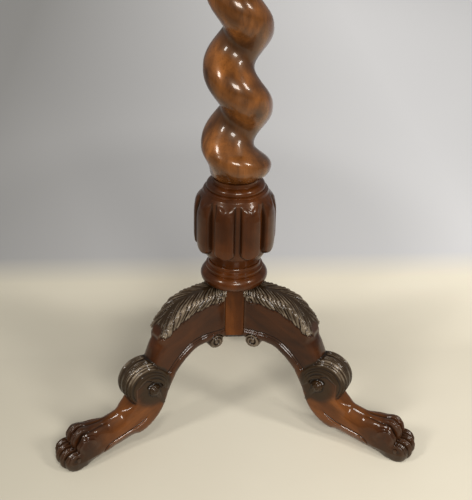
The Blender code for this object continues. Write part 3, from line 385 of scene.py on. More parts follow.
def patina_and_painted_light(tree, base, rough):
    """Carving: wear and painted sheen low on the leg, a dark foot, dirt and painted shade in the hollows, a
    dark skin with worn ridges and painted glints.
    """
    relief = attribute(tree, "relief")
    # The carved mask also holds painted shade beside the scroll's eye
    carved = attribute(tree, "carved")
    place = own_place(tree)
    parts = node(tree, "ShaderNodeSeparateXYZ", {"Vector": place})
    out = parts.outputs["X"]
    up = parts.outputs["Z"]
    # Low on the leg: wear and painted sheen, kept off the carving and its painted shade
    shank = times(tree, ranged(tree, up, *SHANK_BELOW), ranged(tree, out, *SHANK_WITHIN))
    shank = times(tree, shank, ranged(tree, carved, 0.5, 0.0))
    base = mix(tree, shank, base, mix(tree, 1.0, base, SHANK_WEAR_AND_SHEEN, "MULTIPLY"))
    foot = times(tree, ranged(tree, up, *FOOT_BELOW), ranged(tree, out, *FOOT_BEYOND))
    base = mix(tree, times(tree, foot, FOOT_SHARE), base, FOOT_TINT)
    base = mix(tree, times(tree, carved, SKIN_SHARE), base, SKIN_TINT)
    # Lighter ridges in patches: wear and painted glints
    patches = ranged(tree, noise(tree, place, RIDGE_PATCHES, 3.0, roughness=0.6), *RIDGE_WEAR_AND_GLINT_RANGE)
    rubbed_and_glinting = times(tree, ranged(tree, relief, *RIDGE_RELIEF), ranged(tree, carved, 0.0, 1.0, *RIDGE_SHARES))
    base = mix(tree, times(tree, rubbed_and_glinting, patches), base, RIDGE_WEAR_AND_GLINT_TINT)
    # Darker in the hollows: dirt and painted shade
    hollow = ranged(tree, relief, *GRIME_AND_SHADE_RELIEF)
    grime_and_shade = times(tree, hollow, ranged(tree, carved, 0.0, 0.5, *GRIME_AND_SHADE_SHARES))
    base = mix(tree, grime_and_shade, base, GRIME_AND_SHADE_TINT)
    return base, maths(tree, "ADD", rough, times(tree, hollow, GRIME_ROUGHNESS))


def metal(name, tint, tarnish, gloss, grain):
    """Aged metal: a bright worn tint over patches of tarnish, with fine scratches."""
    material, tree, shader = new_material(name)
    patches = noise(tree, own_place(tree), TARNISH_PATCHES, 6.0, roughness=0.65)
    scratches = noise(tree, stretched(tree, (0.0, 0.0, 0.0), grain), 1.0, 3.0)
    base = mix(tree, ranged(tree, patches, *TARNISH_RANGE), tint, tarnish)
    tree.links.new(base, shader.inputs["Base Color"])
    rough = maths(tree, "ADD", ranged(tree, patches, *DULLING_RANGE, gloss, gloss + TARNISH_ROUGHNESS),
                  times(tree, scratches, SCRATCH_ROUGHNESS))
    tree.links.new(rough, shader.inputs["Roughness"])
    add_bump(tree, shader, scratches, *METAL_BUMP)
    shader.inputs["Metallic"].default_value = 1.0
    return material


LEG_GRAIN = (0.0, math.radians(118.0), 0.0)
TOP_GRAIN = (math.radians(90.0), 0.0, 0.0)
TWIST_WOOD = wood("twist_wood", colour(0.104, 0.0358, 0.0078), colour(0.215, 0.0780, 0.0190),
                  shine=0.30, coat=0.45, mottling=0.65, ageing_and_shading=wax_and_shade)
TURNED_WOOD = wood("turned_wood", colour(0.038, 0.0090, 0.0011), colour(0.070, 0.0185, 0.0027),
                   gloss=0.32, shine=0.22, coat=0.28, pore=0.20, ageing_and_shading=wax_and_shade)
CARVED_WOOD = wood("carved_wood", colour(0.023, 0.0058, 0.0008), colour(0.048, 0.0130, 0.0022), LEG_GRAIN,
                   gloss=0.32, shine=0.12, coat=0.42, pore=0.20, ageing_and_shading=patina_and_painted_light)
TOP_WOOD = wood("top_wood", colour(0.085, 0.0260, 0.0070), colour(0.185, 0.0650, 0.0190), TOP_GRAIN,
                gloss=0.30, coat=0.06)
PLAIN_WOOD = wood("plain_wood", colour(0.080, 0.0320, 0.0120), colour(0.150, 0.0660, 0.0270), TOP_GRAIN,
                  gloss=0.42, coat=0.05)
BLOCK_WOOD = wood("block_wood", colour(0.053, 0.0140, 0.0022), colour(0.100, 0.0290, 0.0048), pore=0.20)
BRASS = metal("brass", colour(0.62, 0.43, 0.17), colour(0.20, 0.115, 0.040), 0.26, (400.0, 400.0, 60.0))
IRON = metal("iron", colour(0.085, 0.078, 0.072), colour(0.055, 0.030, 0.018), 0.48, (260.0, 260.0, 260.0))
STEEL = metal("steel", colour(0.46, 0.45, 0.43), colour(0.17, 0.13, 0.10), 0.34, (500.0, 500.0, 80.0))


# Barley-twist shaft

TWIST_PITCH = 0.0863
TWIST_RADIUS = 0.0300
TWIST_TAPER = 0.0208
TWIST_OFFSET = 0.0102
TWIST_RIDGE_RISE = 0.1682
TWIST_NECK = 0.0238
TWIST_ROUND_OFF = 0.0190
TWIST_FADE_START = 0.0100
TWIST_FADE = 0.0300
TWIST_END_SWELL = 0.0055
TWIST_END_OFFSET = 0.0045
TWIST_END_TURN = math.radians(80.0)
TWIST_END_LENGTH = 0.0365
TWIST_FULLNESS = 1.25
# The twist's valleys darken: dark wax and painted shade
TWIST_WAX_AND_SHADE = 0.9
TWIST_WAX_AND_SHADE_FALL = (0.05, 0.95)
TWIST_STEPS = 96
TWIST_RINGS = 260


def twist_ring(z):
    """The shaft's section at a height, and how much dark wax and painted shade each point takes in its
    hollows.
    """
    near = min(z - TWIST_LOW, TWIST_HIGH - z)
    full = float(rise(near, TWIST_FADE_START, TWIST_FADE))
    rounded = math.sqrt(max(1 - (1 - min(near / TWIST_ROUND_OFF, 1.0)) ** 2, 0.0))
    radius = TWIST_RADIUS - TWIST_TAPER * (z - TWIST_LOW) + TWIST_END_SWELL * (1 - full)
    radius = TWIST_NECK + (radius - TWIST_NECK) * rounded
    offset = (TWIST_END_OFFSET + (TWIST_OFFSET - TWIST_END_OFFSET) * full) * rounded
    end_turn = TWIST_END_TURN * max(1 - near / TWIST_END_LENGTH, 0.0)
    if z > (TWIST_LOW + TWIST_HIGH) / 2:
        end_turn = -end_turn
    turn = 2 * math.pi * (TWIST_LOW + TWIST_RIDGE_RISE - z) / TWIST_PITCH + end_turn
    angles = 2 * math.pi * np.arange(TWIST_STEPS) / TWIST_STEPS
    lobe = 1 - 2 * ((1 - np.cos(angles - turn)) / 2) ** TWIST_FULLNESS
    radii = radius + offset * lobe
    ring = [(r * math.cos(a), r * math.sin(a), z) for a, r in zip(angles, radii)]
    return ring, TWIST_WAX_AND_SHADE * fall(lobe, *TWIST_WAX_AND_SHADE_FALL) * full


def make_twist():
    heights = [TWIST_LOW + (TWIST_HIGH - TWIST_LOW) * (1 - math.cos(math.pi * i / TWIST_RINGS)) / 2
               for i in range(TWIST_RINGS + 1)]
    twist = [twist_ring(z) for z in heights]
    plain = np.zeros(TWIST_STEPS)
    rings = [circle(TENON_RADIUS, z, TWIST_STEPS) for z in (TENON_LOW, TWIST_LOW)]
    rings += [ring for ring, _ in twist]
    rings += [circle(TENON_RADIUS, z, TWIST_STEPS) for z in (TWIST_HIGH, TENON_HIGH)]
    mesh = loft("twisted_shaft", rings)
    label(mesh, "hollow", np.concatenate([plain, plain] + [hollow for _, hollow in twist] + [plain, plain]))
    piece = new_piece("twisted_shaft", mesh, TWIST_WOOD)
    low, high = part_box("tenon_wedge")
    room = Vector((TENON_RADIUS, GAP, GAP))
    cut_away(piece, low - room, high + room)
    dress(piece, "base", "twist_shaft")


# Turned ring under the lobed collar, and the collar under the top: radii and heights over the foot

RING_BELLY = ((0.0287, 0.0092), (0.0104, 0.0092), -86, 62)
RING_FILLETS = [(0.0342, 0.0190), (0.0332, 0.0196), (0.0332, 0.0217), (0.0322, 0.0224), (0.0306, 0.0232),
                (0.0302, 0.0242), (0.0306, 0.0251), (0.0304, 0.0270)]
RING_LIP = 0.0298
UPPER_FOOT = [(0.0264, 0.0), (0.0266, 0.0022)]
UPPER_BEAD = ((0.0262, 0.0082), (0.0068, 0.0054), -80, 80)
UPPER_FILLET = [(0.0290, 0.0140), (0.0305, 0.0144)]
UPPER_COVE = ((0.0430, 0.0152), (0.0125, 0.0262), 180, 90)
UPPER_STEP = [(0.0432, 0.0424), (0.0438, 0.0440)]
UPPER_FLANGE = ((0.0440, 0.0500), (0.0040, 0.0057), -70, 80)
PILLAR_STEPS = 160
TURNED_SHARP = 32.0


def make_turned(name, profile, low, solid):
    mesh = turned(name, profile, low, PILLAR_STEPS, True)
    dress(new_piece(name, mesh, TURNED_WOOD, TURNED_SHARP), "base", solid)


def make_ring():
    height = RING_HIGH - RING_LOW
    profile = [(BORE_RADIUS, 0.0)] + arc(*RING_BELLY, 22) + RING_FILLETS
    profile += [(RING_LIP, height), (BORE_RADIUS, height)]
    make_turned("turned_ring", profile, RING_LOW, "lower_ring")


def make_upper_collar():
    profile = [(BORE_RADIUS, 0.0)] + UPPER_FOOT + arc(*UPPER_BEAD, 14) + UPPER_FILLET + arc(*UPPER_COVE, 16)
    profile += UPPER_STEP + arc(*UPPER_FLANGE, 14) + [(BORE_RADIUS, UPPER_HIGH - UPPER_LOW)]
    make_turned("turned_head", profile, UPPER_LOW, "upper_collar")


# Collar with nine carved lobes, in millimetres over its foot

LOBE_COUNT = 9
LOBE_HALF = 12.4
LOBE_TURN = math.radians(0.2)
LOBE_LOW = 16.8
LOBE_POINT = 10.0
LOBE_POINT_ROUND = 1.7
LOBE_POINT_SLOPE = 0.8
LOBE_ROUND = 3.2
LOBE_FOOT = 0.80
LOBE_FOOT_LENGTH = 16.0
LOBE_BOW = 1.2
LOBE_BOW_MORE = 2.0
LOBE_BOW_RISE = (66.0, 10.0)
LOBE_END = 77.2
LOBE_END_DIP = 5.5
LOBE_END_SLOPE = 1.1
LOBE_LIP = 2.2
LOBE_RADIUS = 45.0
GROOVE_INSIDE, GROOVE_OUTSIDE = 1.4, 1.1
GROOVE_FALL = (86.0, 4.0)
NO_LIMIT = 99.0
CORE = [(29.0, 0.0), (29.6, 1.6), (31.6, 5.0), (35.0, 10.5), (38.4, 16.0), (39.6, 22.0), (40.0, 30.0),
        (40.0, 86.0)]
CROWN = [(47.4, 30.0), (47.4, 58.0), (47.0, 66.0), (45.9, 73.6), (44.9, 77.5), (44.2, 80.0), (43.2, 83.0)]
SHOULDER = [(46.5, 74.0), (44.0, 77.4), (42.3, 80.0), (39.9, 83.4), (37.4, 86.6), (36.6, 89.6)]
HEAD = [(36.1, 89.9), (35.6, 90.0), (34.9, 90.9), (34.4, 91.3), (33.7, 91.5)]
BEAD = ((27.4, 93.8), (6.0, 5.4), -24, 88)
RIM = [(26.9, 99.4), (26.4, 100.0)]
COLLAR_STEPS = 48
COLLAR_CROWDING = 1.5
COLLAR_RINGS = 200
COLLAR_SHARP = 30.0


def collar_radius(z, across):
    """Radius at a height, some way across a lobe from its middle, and how hollow it is there."""
    core = radius_at(CORE, z)
    share = np.abs(across) / LOBE_HALF
    point = LOBE_LOW + LOBE_POINT * (1 - np.sqrt(np.clip(1 - share ** LOBE_POINT_ROUND, 0, 1)))
    inside = np.minimum(LOBE_HALF - np.abs(across), (z - point) * LOBE_POINT_SLOPE)
    rounded = np.sqrt(1 - (1 - np.clip(inside / LOBE_ROUND, 0, 1)) ** 2)
    foot = LOBE_FOOT + (1 - LOBE_FOOT) * rise(z, LOBE_LOW, LOBE_FOOT_LENGTH)
    end = LOBE_END + LOBE_END_DIP * share
    bow = (LOBE_BOW + LOBE_BOW_MORE * rise(z, *LOBE_BOW_RISE)) * share ** 2
    crown = radius_at(CROWN, z) - bow
    crown_end = radius_at(CROWN, end) - bow - LOBE_END_SLOPE * (z - end)
    limit = np.maximum(radius_at(SHOULDER, z, NO_LIMIT), smooth_min(crown, crown_end, LOBE_LIP))
    radius = core + np.where(inside > 0, (np.minimum(crown, limit) - core) * rounded * foot, 0.0)
    # Darker along the lobes' edges and in the grooves: dark wax and painted shade
    hollow = bell(inside, np.where(inside > 0, GROOVE_INSIDE, GROOVE_OUTSIDE)) * fall(z, *GROOVE_FALL)
    return np.minimum(radius, limit), hollow


def collar_rings():
    pitch = 2 * math.pi / LOBE_COUNT
    share = np.linspace(-1.0, 1.0, COLLAR_STEPS, endpoint=False)
    across = np.sign(share) * (1 - (1 - np.abs(share)) ** COLLAR_CROWDING) * pitch / 2
    middles = LOBE_TURN - math.pi / 2 + pitch * (np.arange(LOBE_COUNT) + 0.5)
    turns = (middles[:, None] + across).ravel()
    rings = []
    hollows = []
    for z in np.linspace(0.0, SHOULDER[-1][1], COLLAR_RINGS):
        radii, hollow = collar_radius(z, across * LOBE_RADIUS)
        rings.append((np.tile(radii, LOBE_COUNT), z))
        hollows.append(np.tile(hollow, LOBE_COUNT))
    height = (COLLAR_HIGH - COLLAR_LOW) / MM
    for radius, z in HEAD + arc(*BEAD, 14) + RIM + [(RIM[-1][0], height), (TENON_RADIUS / MM, height)]:
        rings.append((np.full(len(turns), radius), z))
        hollows.append(np.zeros(len(turns)))
    points = []
    for radii, z in rings:
        level = np.full(len(turns), COLLAR_LOW + z * MM)
        points.append(np.stack([radii * np.cos(turns) * MM, radii * np.sin(turns) * MM, level], 1))
    return points, np.concatenate(hollows)


def make_collar():
    rings, hollows = collar_rings()
    mesh = loft("carved_collar", rings)
    label(mesh, "hollow", hollows)
    piece = new_piece("carved_collar", mesh, TURNED_WOOD, COLLAR_SHARP)
    dress(piece, "base", "lobed_collar")


# Table top: a round nose over a small cove

TOP_NOSE = 0.0080
TOP_COVE = 0.0058
TOP_COVE_IN = 0.0020
TOP_COVE_DOWN = 0.0191
TOP_NOSE_DOWN = 0.0130
TOP_FOOT_IN = 0.0090
TOP_CHAMFER = 0.0008
TOP_STEPS = 256


def make_top():
    high = TOP_HIGH - TOP_LOW
    nose = arc((TOP_RADIUS - TOP_NOSE, high - TOP_NOSE), (TOP_NOSE, TOP_NOSE), -90, 90, 24)
    cove = arc((TOP_RADIUS - TOP_COVE_IN, high - TOP_COVE_DOWN), (TOP_COVE, TOP_COVE), 178, 92, 12)
    profile = [(0.0, 0.0), (TOP_RADIUS - TOP_FOOT_IN, 0.0), (TOP_RADIUS - TOP_NOSE, TOP_CHAMFER)] + cove
    profile += [(TOP_RADIUS - TOP_COVE_IN, high - TOP_NOSE_DOWN)] + nose + [(0.0, high)]
    mesh = turned("round_top", profile, TOP_LOW, TOP_STEPS)
    dress(new_piece("round_top", mesh, TOP_WOOD, TURNED_SHARP), "top", "table_top")


# Carved leg: a field of distances in millimetres, with r out from the pillar's axis, t across and z up.
# Each _RISE and _FALL gives where a smooth step starts or ends, and its length.

LEG_ANGLES = {"leg_left": 210.0, "leg_right": 330.0, "leg_rear": 90.0}
LEG_SHARP = 60.0
VOXEL = 0.7
HALF = 15.0
HUB_FACE = 21.1
LEG_TOP = 177.6
FIELD_LOW = (20.0, -2.1)
FIELD_HIGH = (241.0, 180.0)
FIELD_HALF = 26.5
FIELD_FAR = 3.0
PATH_STEPS = 6


def path_field(points, r, z):
    """Distance to a path, positive on its left, and how far along it the nearest point lies."""
    best = np.full(r.shape, np.inf)
    side = np.zeros(r.shape)
    along = np.zeros(r.shape)
    start = 0.0
    for a, b in zip(points, points[1:]):
        length = math.hypot(*(b - a))
        ur, uz = (b - a) / length
        at = np.clip((r - a[0]) * ur + (z - a[1]) * uz, 0.0, length)
        dr = r - a[0] - at * ur
        dz = z - a[1] - at * uz
        square = dr * dr + dz * dz
        nearer = square < best
        best = np.where(nearer, square, best)
        side = np.where(nearer, ur * dz - uz * dr, side)
        along = np.where(nearer, start + at, along)
        start += length
    signed = np.copysign(np.sqrt(best), side)
    return signed.astype(np.float32), along.astype(np.float32)


def ellipsoid(r, t, z, centre, radii, tilt=0.0):
    """Distance to an ellipsoid, tipped forward by an angle in degrees."""
    c = math.cos(math.radians(tilt))
    s = math.sin(math.radians(tilt))
    x = ((r - centre[0]) * c - (z - centre[2]) * s) / radii[0]
    y = (t - centre[1]) / radii[1]
    h = ((r - centre[0]) * s + (z - centre[2]) * c) / radii[2]
    size = np.sqrt(x * x + y * y + h * h)
    slope = np.sqrt((x / radii[0]) ** 2 + (y / radii[1]) ** 2 + (h / radii[2]) ** 2)
    return size * (size - 1) / np.maximum(slope, 1e-4)


def ellipse(r, z, centre, radii):
    return ellipsoid(r, 0.0, z, (centre[0], 0.0, centre[1]), (radii[0], 1.0, radii[1]))


def capsule(r, t, z, a, b, radius_a, radius_b):
    """Distance to a round bar between two points, with a radius at each."""
    a = np.array(a)
    d = np.array(b) - a
    share = ((r - a[0]) * d[0] + (t - a[1]) * d[1] + (z - a[2]) * d[2]) / float(d @ d)
    share = np.clip(share, 0.0, 1.0)
    dr = r - a[0] - share * d[0]
    dt = t - a[1] - share * d[1]
    dz = z - a[2] - share * d[2]
    return np.sqrt(dr ** 2 + dt ** 2 + dz ** 2) - (radius_a + (radius_b - radius_a) * share)


# Leaf on the knee: s runs along the knee's top, and w across it and down its side

LEAF_EDGE = [(0.0, 20.0), (6.0, 24.5), (12.0, 26.5), (24.0, 27.0), (36.0, 28.0), (47.0, 27.5), (62.0, 27.0),
             (72.0, 26.0), (82.0, 24.5), (88.0, 22.5), (94.0, 20.0), (99.0, 17.0), (103.0, 13.0)]
LEAF_END = 99.5
LEAF_REACH = 27.0
LEAF_HEIGHT = 2.2
LEAF_NEAR = 3.0
SWEEP, SWEEP_MORE = 24.0, 34.0
SWEEP_RISE = (15.0, 80.0)
SWEEP_BEND = 0.62
CREST = 0.5
CROWDING = 8.0
CROWDING_RISE = (15.0, 40.0)
WAVE_ALONG, WAVE_ACROSS = 0.23, 0.11
BUNCH_PITCH = 11.0
STRANDS = 3
STRAND_ROUND = 0.75
STRAND_CUT, STRAND_MEAN = 1.6, 0.65
BUNCH_CUT, BUNCH_MEAN = 1.1, 0.75
BUNCH_TILT = 0.6
UNEVEN, UNEVEN_MEAN = 0.40, 0.80
UNEVEN_STEP, UNEVEN_DRIFT = 5.1, 0.09
EDGE_NOTCH, END_NOTCH = 2.4, 3.0
EDGE_CHANGE, EDGE_CHANGE_STEP = 1.2, 2.4
EDGE_FADE, EDGE_FADE_TIP = 1.3, 4.0
EDGE_SHIFT = 0.3
TIP_HALF, TIP_FADE = 11.0, 5.0
TIP_END = 104.5
TIP_RISE = (88.0, 8.0)
CREST_DEPTH = 0.55
SIDE_RISE = (13.0, 5.0)
CREST_RISE = (1.0, 3.0)
OUTLINE_CUT = (-0.8, -1.3, 0.9)
OUTLINE_FALL = (108.0, 3.0)


def leaf_bunches(s, w):
    """Where a place lies among the leaf's bunches of strands, which leave the crest and bend down."""
    sweep = SWEEP + SWEEP_MORE * rise(s, *SWEEP_RISE)
    run = s - sweep * (np.maximum(w, CREST) / LEAF_REACH) ** SWEEP_BEND
    run = run - CROWDING * rise(run, *CROWDING_RISE) + np.sin(WAVE_ALONG * run + WAVE_ACROSS * w)
    return run / BUNCH_PITCH


def leaf_relief(s, w):
    """Height of the leaf over the knee, and where it is finely carved."""
    bunch = leaf_bunches(s, w)
    count = np.floor(bunch)
    u = bunch - count
    lobe = np.sqrt(np.sin(np.pi * u))
    strand = np.abs(np.sin(STRANDS * np.pi * u)) ** STRAND_ROUND
    edge = table(LEAF_EDGE, s) - EDGE_NOTCH * (1 - strand) - EDGE_NOTCH * (1 - lobe)
    edge = edge + EDGE_CHANGE * np.sin(EDGE_CHANGE_STEP * count)
    blunt = fall(w, TIP_HALF, TIP_FADE)
    end = LEAF_END + (TIP_END - LEAF_END) * blunt - END_NOTCH * (1 - strand) * (1 - blunt)
    inside = np.minimum(edge - w, end - s)
    mask = smoothstep(inside / (EDGE_FADE + EDGE_FADE_TIP * blunt) + EDGE_SHIFT)
    plain = blunt * rise(s, *TIP_RISE)
    depth = (CREST_DEPTH + (1 - CREST_DEPTH) * rise(w, *SIDE_RISE)) * rise(w, *CREST_RISE) * (1 - plain)
    uneven = UNEVEN_MEAN + UNEVEN * np.sin(UNEVEN_STEP * count + UNEVEN_DRIFT * s)
    carving = STRAND_CUT * uneven * (strand - STRAND_MEAN) + BUNCH_CUT * (lobe - BUNCH_MEAN)
    carving = depth * (carving + BUNCH_TILT * (u - 0.5))
    cut_in = ridges(inside, [OUTLINE_CUT]) * (1 - blunt) * fall(s, *OUTLINE_FALL)
    return mask * (LEAF_HEIGHT + carving) + cut_in, mask * (1 - plain)


# Knee: a board between its top and its arch, with a bead and a volute along the arch

KNEE_TOP = [(20.0, 174.2), (40.0, 174.0), (59.5, 172.6), (70.0, 170.2), (78.5, 166.6), (89.2, 157.8),
            (98.8, 147.3), (105.4, 135.9), (112.3, 124.0), (116.6, 114.0), (122.0, 100.0), (128.0, 84.0)]
ARCH = [(112.0, 42.0), (104.2, 57.5), (97.8, 70.0), (90.7, 81.9), (80.7, 94.0), (70.7, 103.0), (60.5, 109.6),
        (48.0, 112.0), (34.0, 111.5), (15.0, 111.0)]
KNEE_LOW = 66.0
KNEE_CORNER = 5.5
KNEE_CORNER_LESS, KNEE_CORNER_FALL = 0.9, (84.0, 14.0)
KNEE_CORNER_MORE, KNEE_CORNER_RISE = 9.0, (101.0, 9.0)
ARCH_CORNER = 1.4
ARCH_BEAD, ARCH_BEAD_AT, ARCH_BEAD_HALF = 1.7, 5.4, 3.9
ARCH_LINES = [(0.8, 10.3, 0.8), (-0.7, 12.0, 0.8), (-0.5, 9.2, 0.6)]
ARCH_RISE = (14.0, 22.0)
VOLUTE_CENTRE = (33.2, 109.3)
VOLUTE_RADIUS = 9.2
VOLUTE_HEIGHT = 2.2
VOLUTE_EDGE = 1.5
VOLUTE_SIDE = VOLUTE_RADIUS + 0.6
VOLUTE_PITCH = 4.4
VOLUTE_CUT, VOLUTE_CUT_WIDTH = 1.5, 0.8
VOLUTE_EYE = 2.0
VOLUTE_CARVED = 0.7
VOLUTE_RISE = (9.0, 3.0)
VOLUTE_BLEND = 1.0
CURL_CENTRE = (30.5, 165.5)
CURL_RADIUS = 4.6
CURL_HEIGHT, CURL_WIDTH = 2.0, 1.3


def arch_relief(depth, along):
    """Bead along the arch, under a thin raised line."""
    bead = ARCH_BEAD * np.sqrt(np.clip(1 - ((depth - ARCH_BEAD_AT) / ARCH_BEAD_HALF) ** 2, 0.0, 1.0))
    return (bead + ridges(depth, ARCH_LINES)) * rise(along, *ARCH_RISE)


def knee_field(R2, Z2, T):
    """The knee with its leaf, and where it is finely carved."""
    above, s = path_field(curve_through(KNEE_TOP, PATH_STEPS), R2, Z2)
    below, run = path_field(curve_through(ARCH, PATH_STEPS), R2, Z2)
    out = np.hypot(R2 - VOLUTE_CENTRE[0], Z2 - VOLUTE_CENTRE[1])
    turn = np.arctan2(Z2 - VOLUTE_CENTRE[1], R2 - VOLUTE_CENTRE[0]) / (2 * math.pi)
    spiral = out / VOLUTE_PITCH - turn
    spiral = np.abs(spiral - np.round(spiral)) * VOLUTE_PITCH
    roll = VOLUTE_HEIGHT * fall(out, VOLUTE_RADIUS, VOLUTE_EDGE)
    roll = roll - VOLUTE_CUT * bell(spiral, VOLUTE_CUT_WIDTH) * (out > VOLUTE_EYE)
    side = np.where(out < VOLUTE_SIDE, np.maximum(roll, 0.0), arch_relief(-below, run))
    corner = KNEE_CORNER - KNEE_CORNER_LESS * rise(s, *KNEE_CORNER_FALL)
    corner = corner + KNEE_CORNER_MORE * rise(s, *KNEE_CORNER_RISE)
    board = smooth_max(above[:, None, :], T - HALF - side[:, None, :], corner[:, None, :])
    lower = smooth_min(below, out - VOLUTE_RADIUS, VOLUTE_BLEND)
    board = smooth_max(board, lower[:, None, :], ARCH_CORNER)
    board = np.maximum(board, (KNEE_LOW - Z2)[:, None, :])
    w = np.minimum(T, HALF) + np.maximum(-above, 0.0)[:, None, :]
    height, leaf = leaf_relief(s[:, None, :], w)
    curl = np.abs(np.hypot(R2 - CURL_CENTRE[0], Z2 - CURL_CENTRE[1]) - CURL_RADIUS)
    height = height + (CURL_HEIGHT * bell(curl, CURL_WIDTH))[:, None, :]
    rolled = VOLUTE_CARVED * fall(out, VOLUTE_RADIUS + VOLUTE_EDGE, VOLUTE_EDGE)
    return board - height, np.maximum(leaf, rolled[:, None, :] * rise(T, *VOLUTE_RISE))


# Scroll: a reeded barrel across the leg, whose ends drift towards its eye

SCROLL_CENTRE = (126.0, 81.0)
SCROLL_RADIUS = 26.9
SCROLL_WIDTH = 19.6
SCROLL_SIDE = 16.3
SCROLL_DRIFT = 4.0
SCROLL_ROUND, SCROLL_SQUARE = 2.0, 6.5
SCROLL_LEAST_SLOPE = 0.03
SCROLL_CORNER = 1.0
REED_PITCH = 3.0
REED_CUT, REED_MEAN = 1.5, 0.75
REED_WANDER, REED_WANDER_STEP = 0.5, 0.9
REED_LEAN = 0.06
REED_PROUD = 4.0
REED_MIDDLE = SCROLL_CENTRE[0] + 2.0
REED_LEVEL = 91.5
REED_BEND = 2.5
REED_OUTER, REED_INNER = 0.70, 0.85
REED_FADE, REED_SHIFT = 4.0, 0.3
REED_FRONT_RISE = (141.0, 4.0)
EYE_CENTRE = (119.4, 72.6)
EYE_RADIUS = 7.2
EYE_SIDE, EYE_DEPTH = 15.2, 6.2
EYE_PITCH, EYE_CUT = 3.1, 0.35
EYE_TAIL = [((115.0, 14.0, 67.0), 4.4), ((109.0, 13.4, 56.0), 3.0), ((104.8, 13.0, 49.0), 1.6)]
TAIL_BLEND, EYE_TAIL_BLEND = 0.8, 1.0
CRESCENT_RADIUS = 9.4
CRESCENT_SIDE = 18.0
CRESCENT_FLATNESS = 0.8
CRESCENT_CUT = 2.4
CRESCENT_TURN = 0.2
CRESCENT_RISE = (-0.15, 0.7)


def scroll_field(R, T, Z):
    """The knee's rolled end, and where it is reeded: at its side over the eye, but not below it."""
    drift = np.clip(T / SCROLL_WIDTH, 0.0, 1.0) ** SCROLL_DRIFT
    x = R - (SCROLL_CENTRE[0] + (EYE_CENTRE[0] - SCROLL_CENTRE[0]) * drift)
    y = Z - (SCROLL_CENTRE[1] + (EYE_CENTRE[1] - SCROLL_CENTRE[1]) * drift)
    p, q = SCROLL_ROUND, SCROLL_SQUARE
    a = np.hypot(x, y) / SCROLL_RADIUS
    b = T / SCROLL_WIDTH
    level = a ** p + b ** q
    slope = np.hypot(p / SCROLL_RADIUS * a ** (p - 1), q / SCROLL_WIDTH * b ** (q - 1))
    barrel = (level - 1) / np.maximum(slope, SCROLL_LEAST_SLOPE)
    angles = np.linspace(0.0, math.pi / 2, 181)
    side_t = SCROLL_WIDTH * np.sin(angles) ** (2 / q)
    side_r = SCROLL_RADIUS * np.cos(angles) ** (2 / p)
    run = np.concatenate([[0.0], np.cumsum(np.hypot(np.diff(side_t), np.diff(side_r)))])
    place = np.interp(np.arctan2(b ** (q / 2), a ** (p / 2)), angles, run)
    place = place + REED_WANDER * np.sin(REED_WANDER_STEP * place) + REED_LEAN * (R - SCROLL_CENTRE[0])
    reeds = np.sqrt(np.abs(np.sin(np.pi * place / REED_PITCH)) + 1e-6)
    barrel = barrel - REED_CUT * (reeds - REED_MEAN)
    away_shading = np.hypot(R - REED_MIDDLE, REED_BEND)
    over_eye = Z - REED_LEVEL + np.where(R > REED_MIDDLE, REED_OUTER, REED_INNER) * away_shading
    reeded = np.maximum(smoothstep(over_eye / REED_FADE + REED_SHIFT), rise(R, *REED_FRONT_RISE))
    return smooth_max(barrel, T - SCROLL_SIDE - REED_PROUD * reeded, SCROLL_CORNER), reeded


def eye_field(R, T, Z):
    """The eye of the scroll: a ball with a spiral cut in it, and a small tail along the arch."""
    x = R - EYE_CENTRE[0]
    y = Z - EYE_CENTRE[1]
    centre = (EYE_CENTRE[0], EYE_SIDE, EYE_CENTRE[1])
    ball = ellipsoid(R, T, Z, centre, (EYE_RADIUS, EYE_DEPTH, EYE_RADIUS))
    spiral = np.hypot(x, y) / EYE_PITCH - np.arctan2(y, x) / (2 * math.pi)
    ball = ball - EYE_CUT * np.cos(2 * math.pi * spiral)
    tail, end = [capsule(R, T, Z, a, b, radius_a, radius_b)
                 for (a, radius_a), (b, radius_b) in zip(EYE_TAIL, EYE_TAIL[1:])]
    return smooth_min(ball, smooth_min(tail, end, TAIL_BLEND), EYE_TAIL_BLEND)


def crescent_field(R, T, Z):
    """The dark hollow over the eye."""
    x = R - EYE_CENTRE[0]
    y = Z - EYE_CENTRE[1]
    deep = CRESCENT_CUT * rise(np.sin(np.arctan2(y, x) - CRESCENT_TURN), *CRESCENT_RISE)
    return np.hypot(np.hypot(x, y) - CRESCENT_RADIUS, CRESCENT_FLATNESS * (T - CRESCENT_SIDE)) - deep


# Shank: a full round section that runs out to the foot, with a band along its heel

SHANK_TOP = [(112.0, 112.0), (119.0, 98.0), (132.1, 74.6), (145.2, 58.4), (156.4, 52.2), (169.5, 47.8),
             (183.5, 45.0), (197.5, 45.2), (209.4, 46.5), (219.0, 42.0), (226.0, 33.0)]
SHANK_BOTTOM = [(226.0, 2.0), (210.4, 1.0), (193.3, 2.2), (174.9, 2.6), (154.2, 6.6), (132.3, 14.6),
                (115.7, 28.0), (104.5, 45.8), (96.2, 69.0), (88.0, 86.0)]
SHANK_WIDTHS = [(0.0, 16.4), (50.0, 16.4), (75.0, 15.4), (95.0, 15.4), (110.0, 15.8), (124.0, 16.6),
                (138.0, 17.6), (150.0, 16.5)]
SHANK_LEAST_HEIGHT = 6.0
SHANK_SQUARE = 7.0
SHANK_SQUARE_LESS, SHANK_ROUND_RISE = 5.3, (52.0, 30.0)
SHANK_SQUARE_FOOT, SHANK_FOOT_RISE = 1.3, (96.0, 18.0)
SHANK_START = (104.0, 92.0)
SHANK_START_SLOPE = (0.55, 0.83)
SHANK_END = 212.0
SHANK_END_ROUND = 3.0
HEEL_LINE = [(124.0, 42.0), (131.0, 35.5), (140.0, 30.4), (150.0, 26.6), (165.0, 22.4), (174.0, 19.8),
             (180.0, 16.6), (184.0, 12.0), (186.0, 7.0)]
HEEL_STEPS = 5
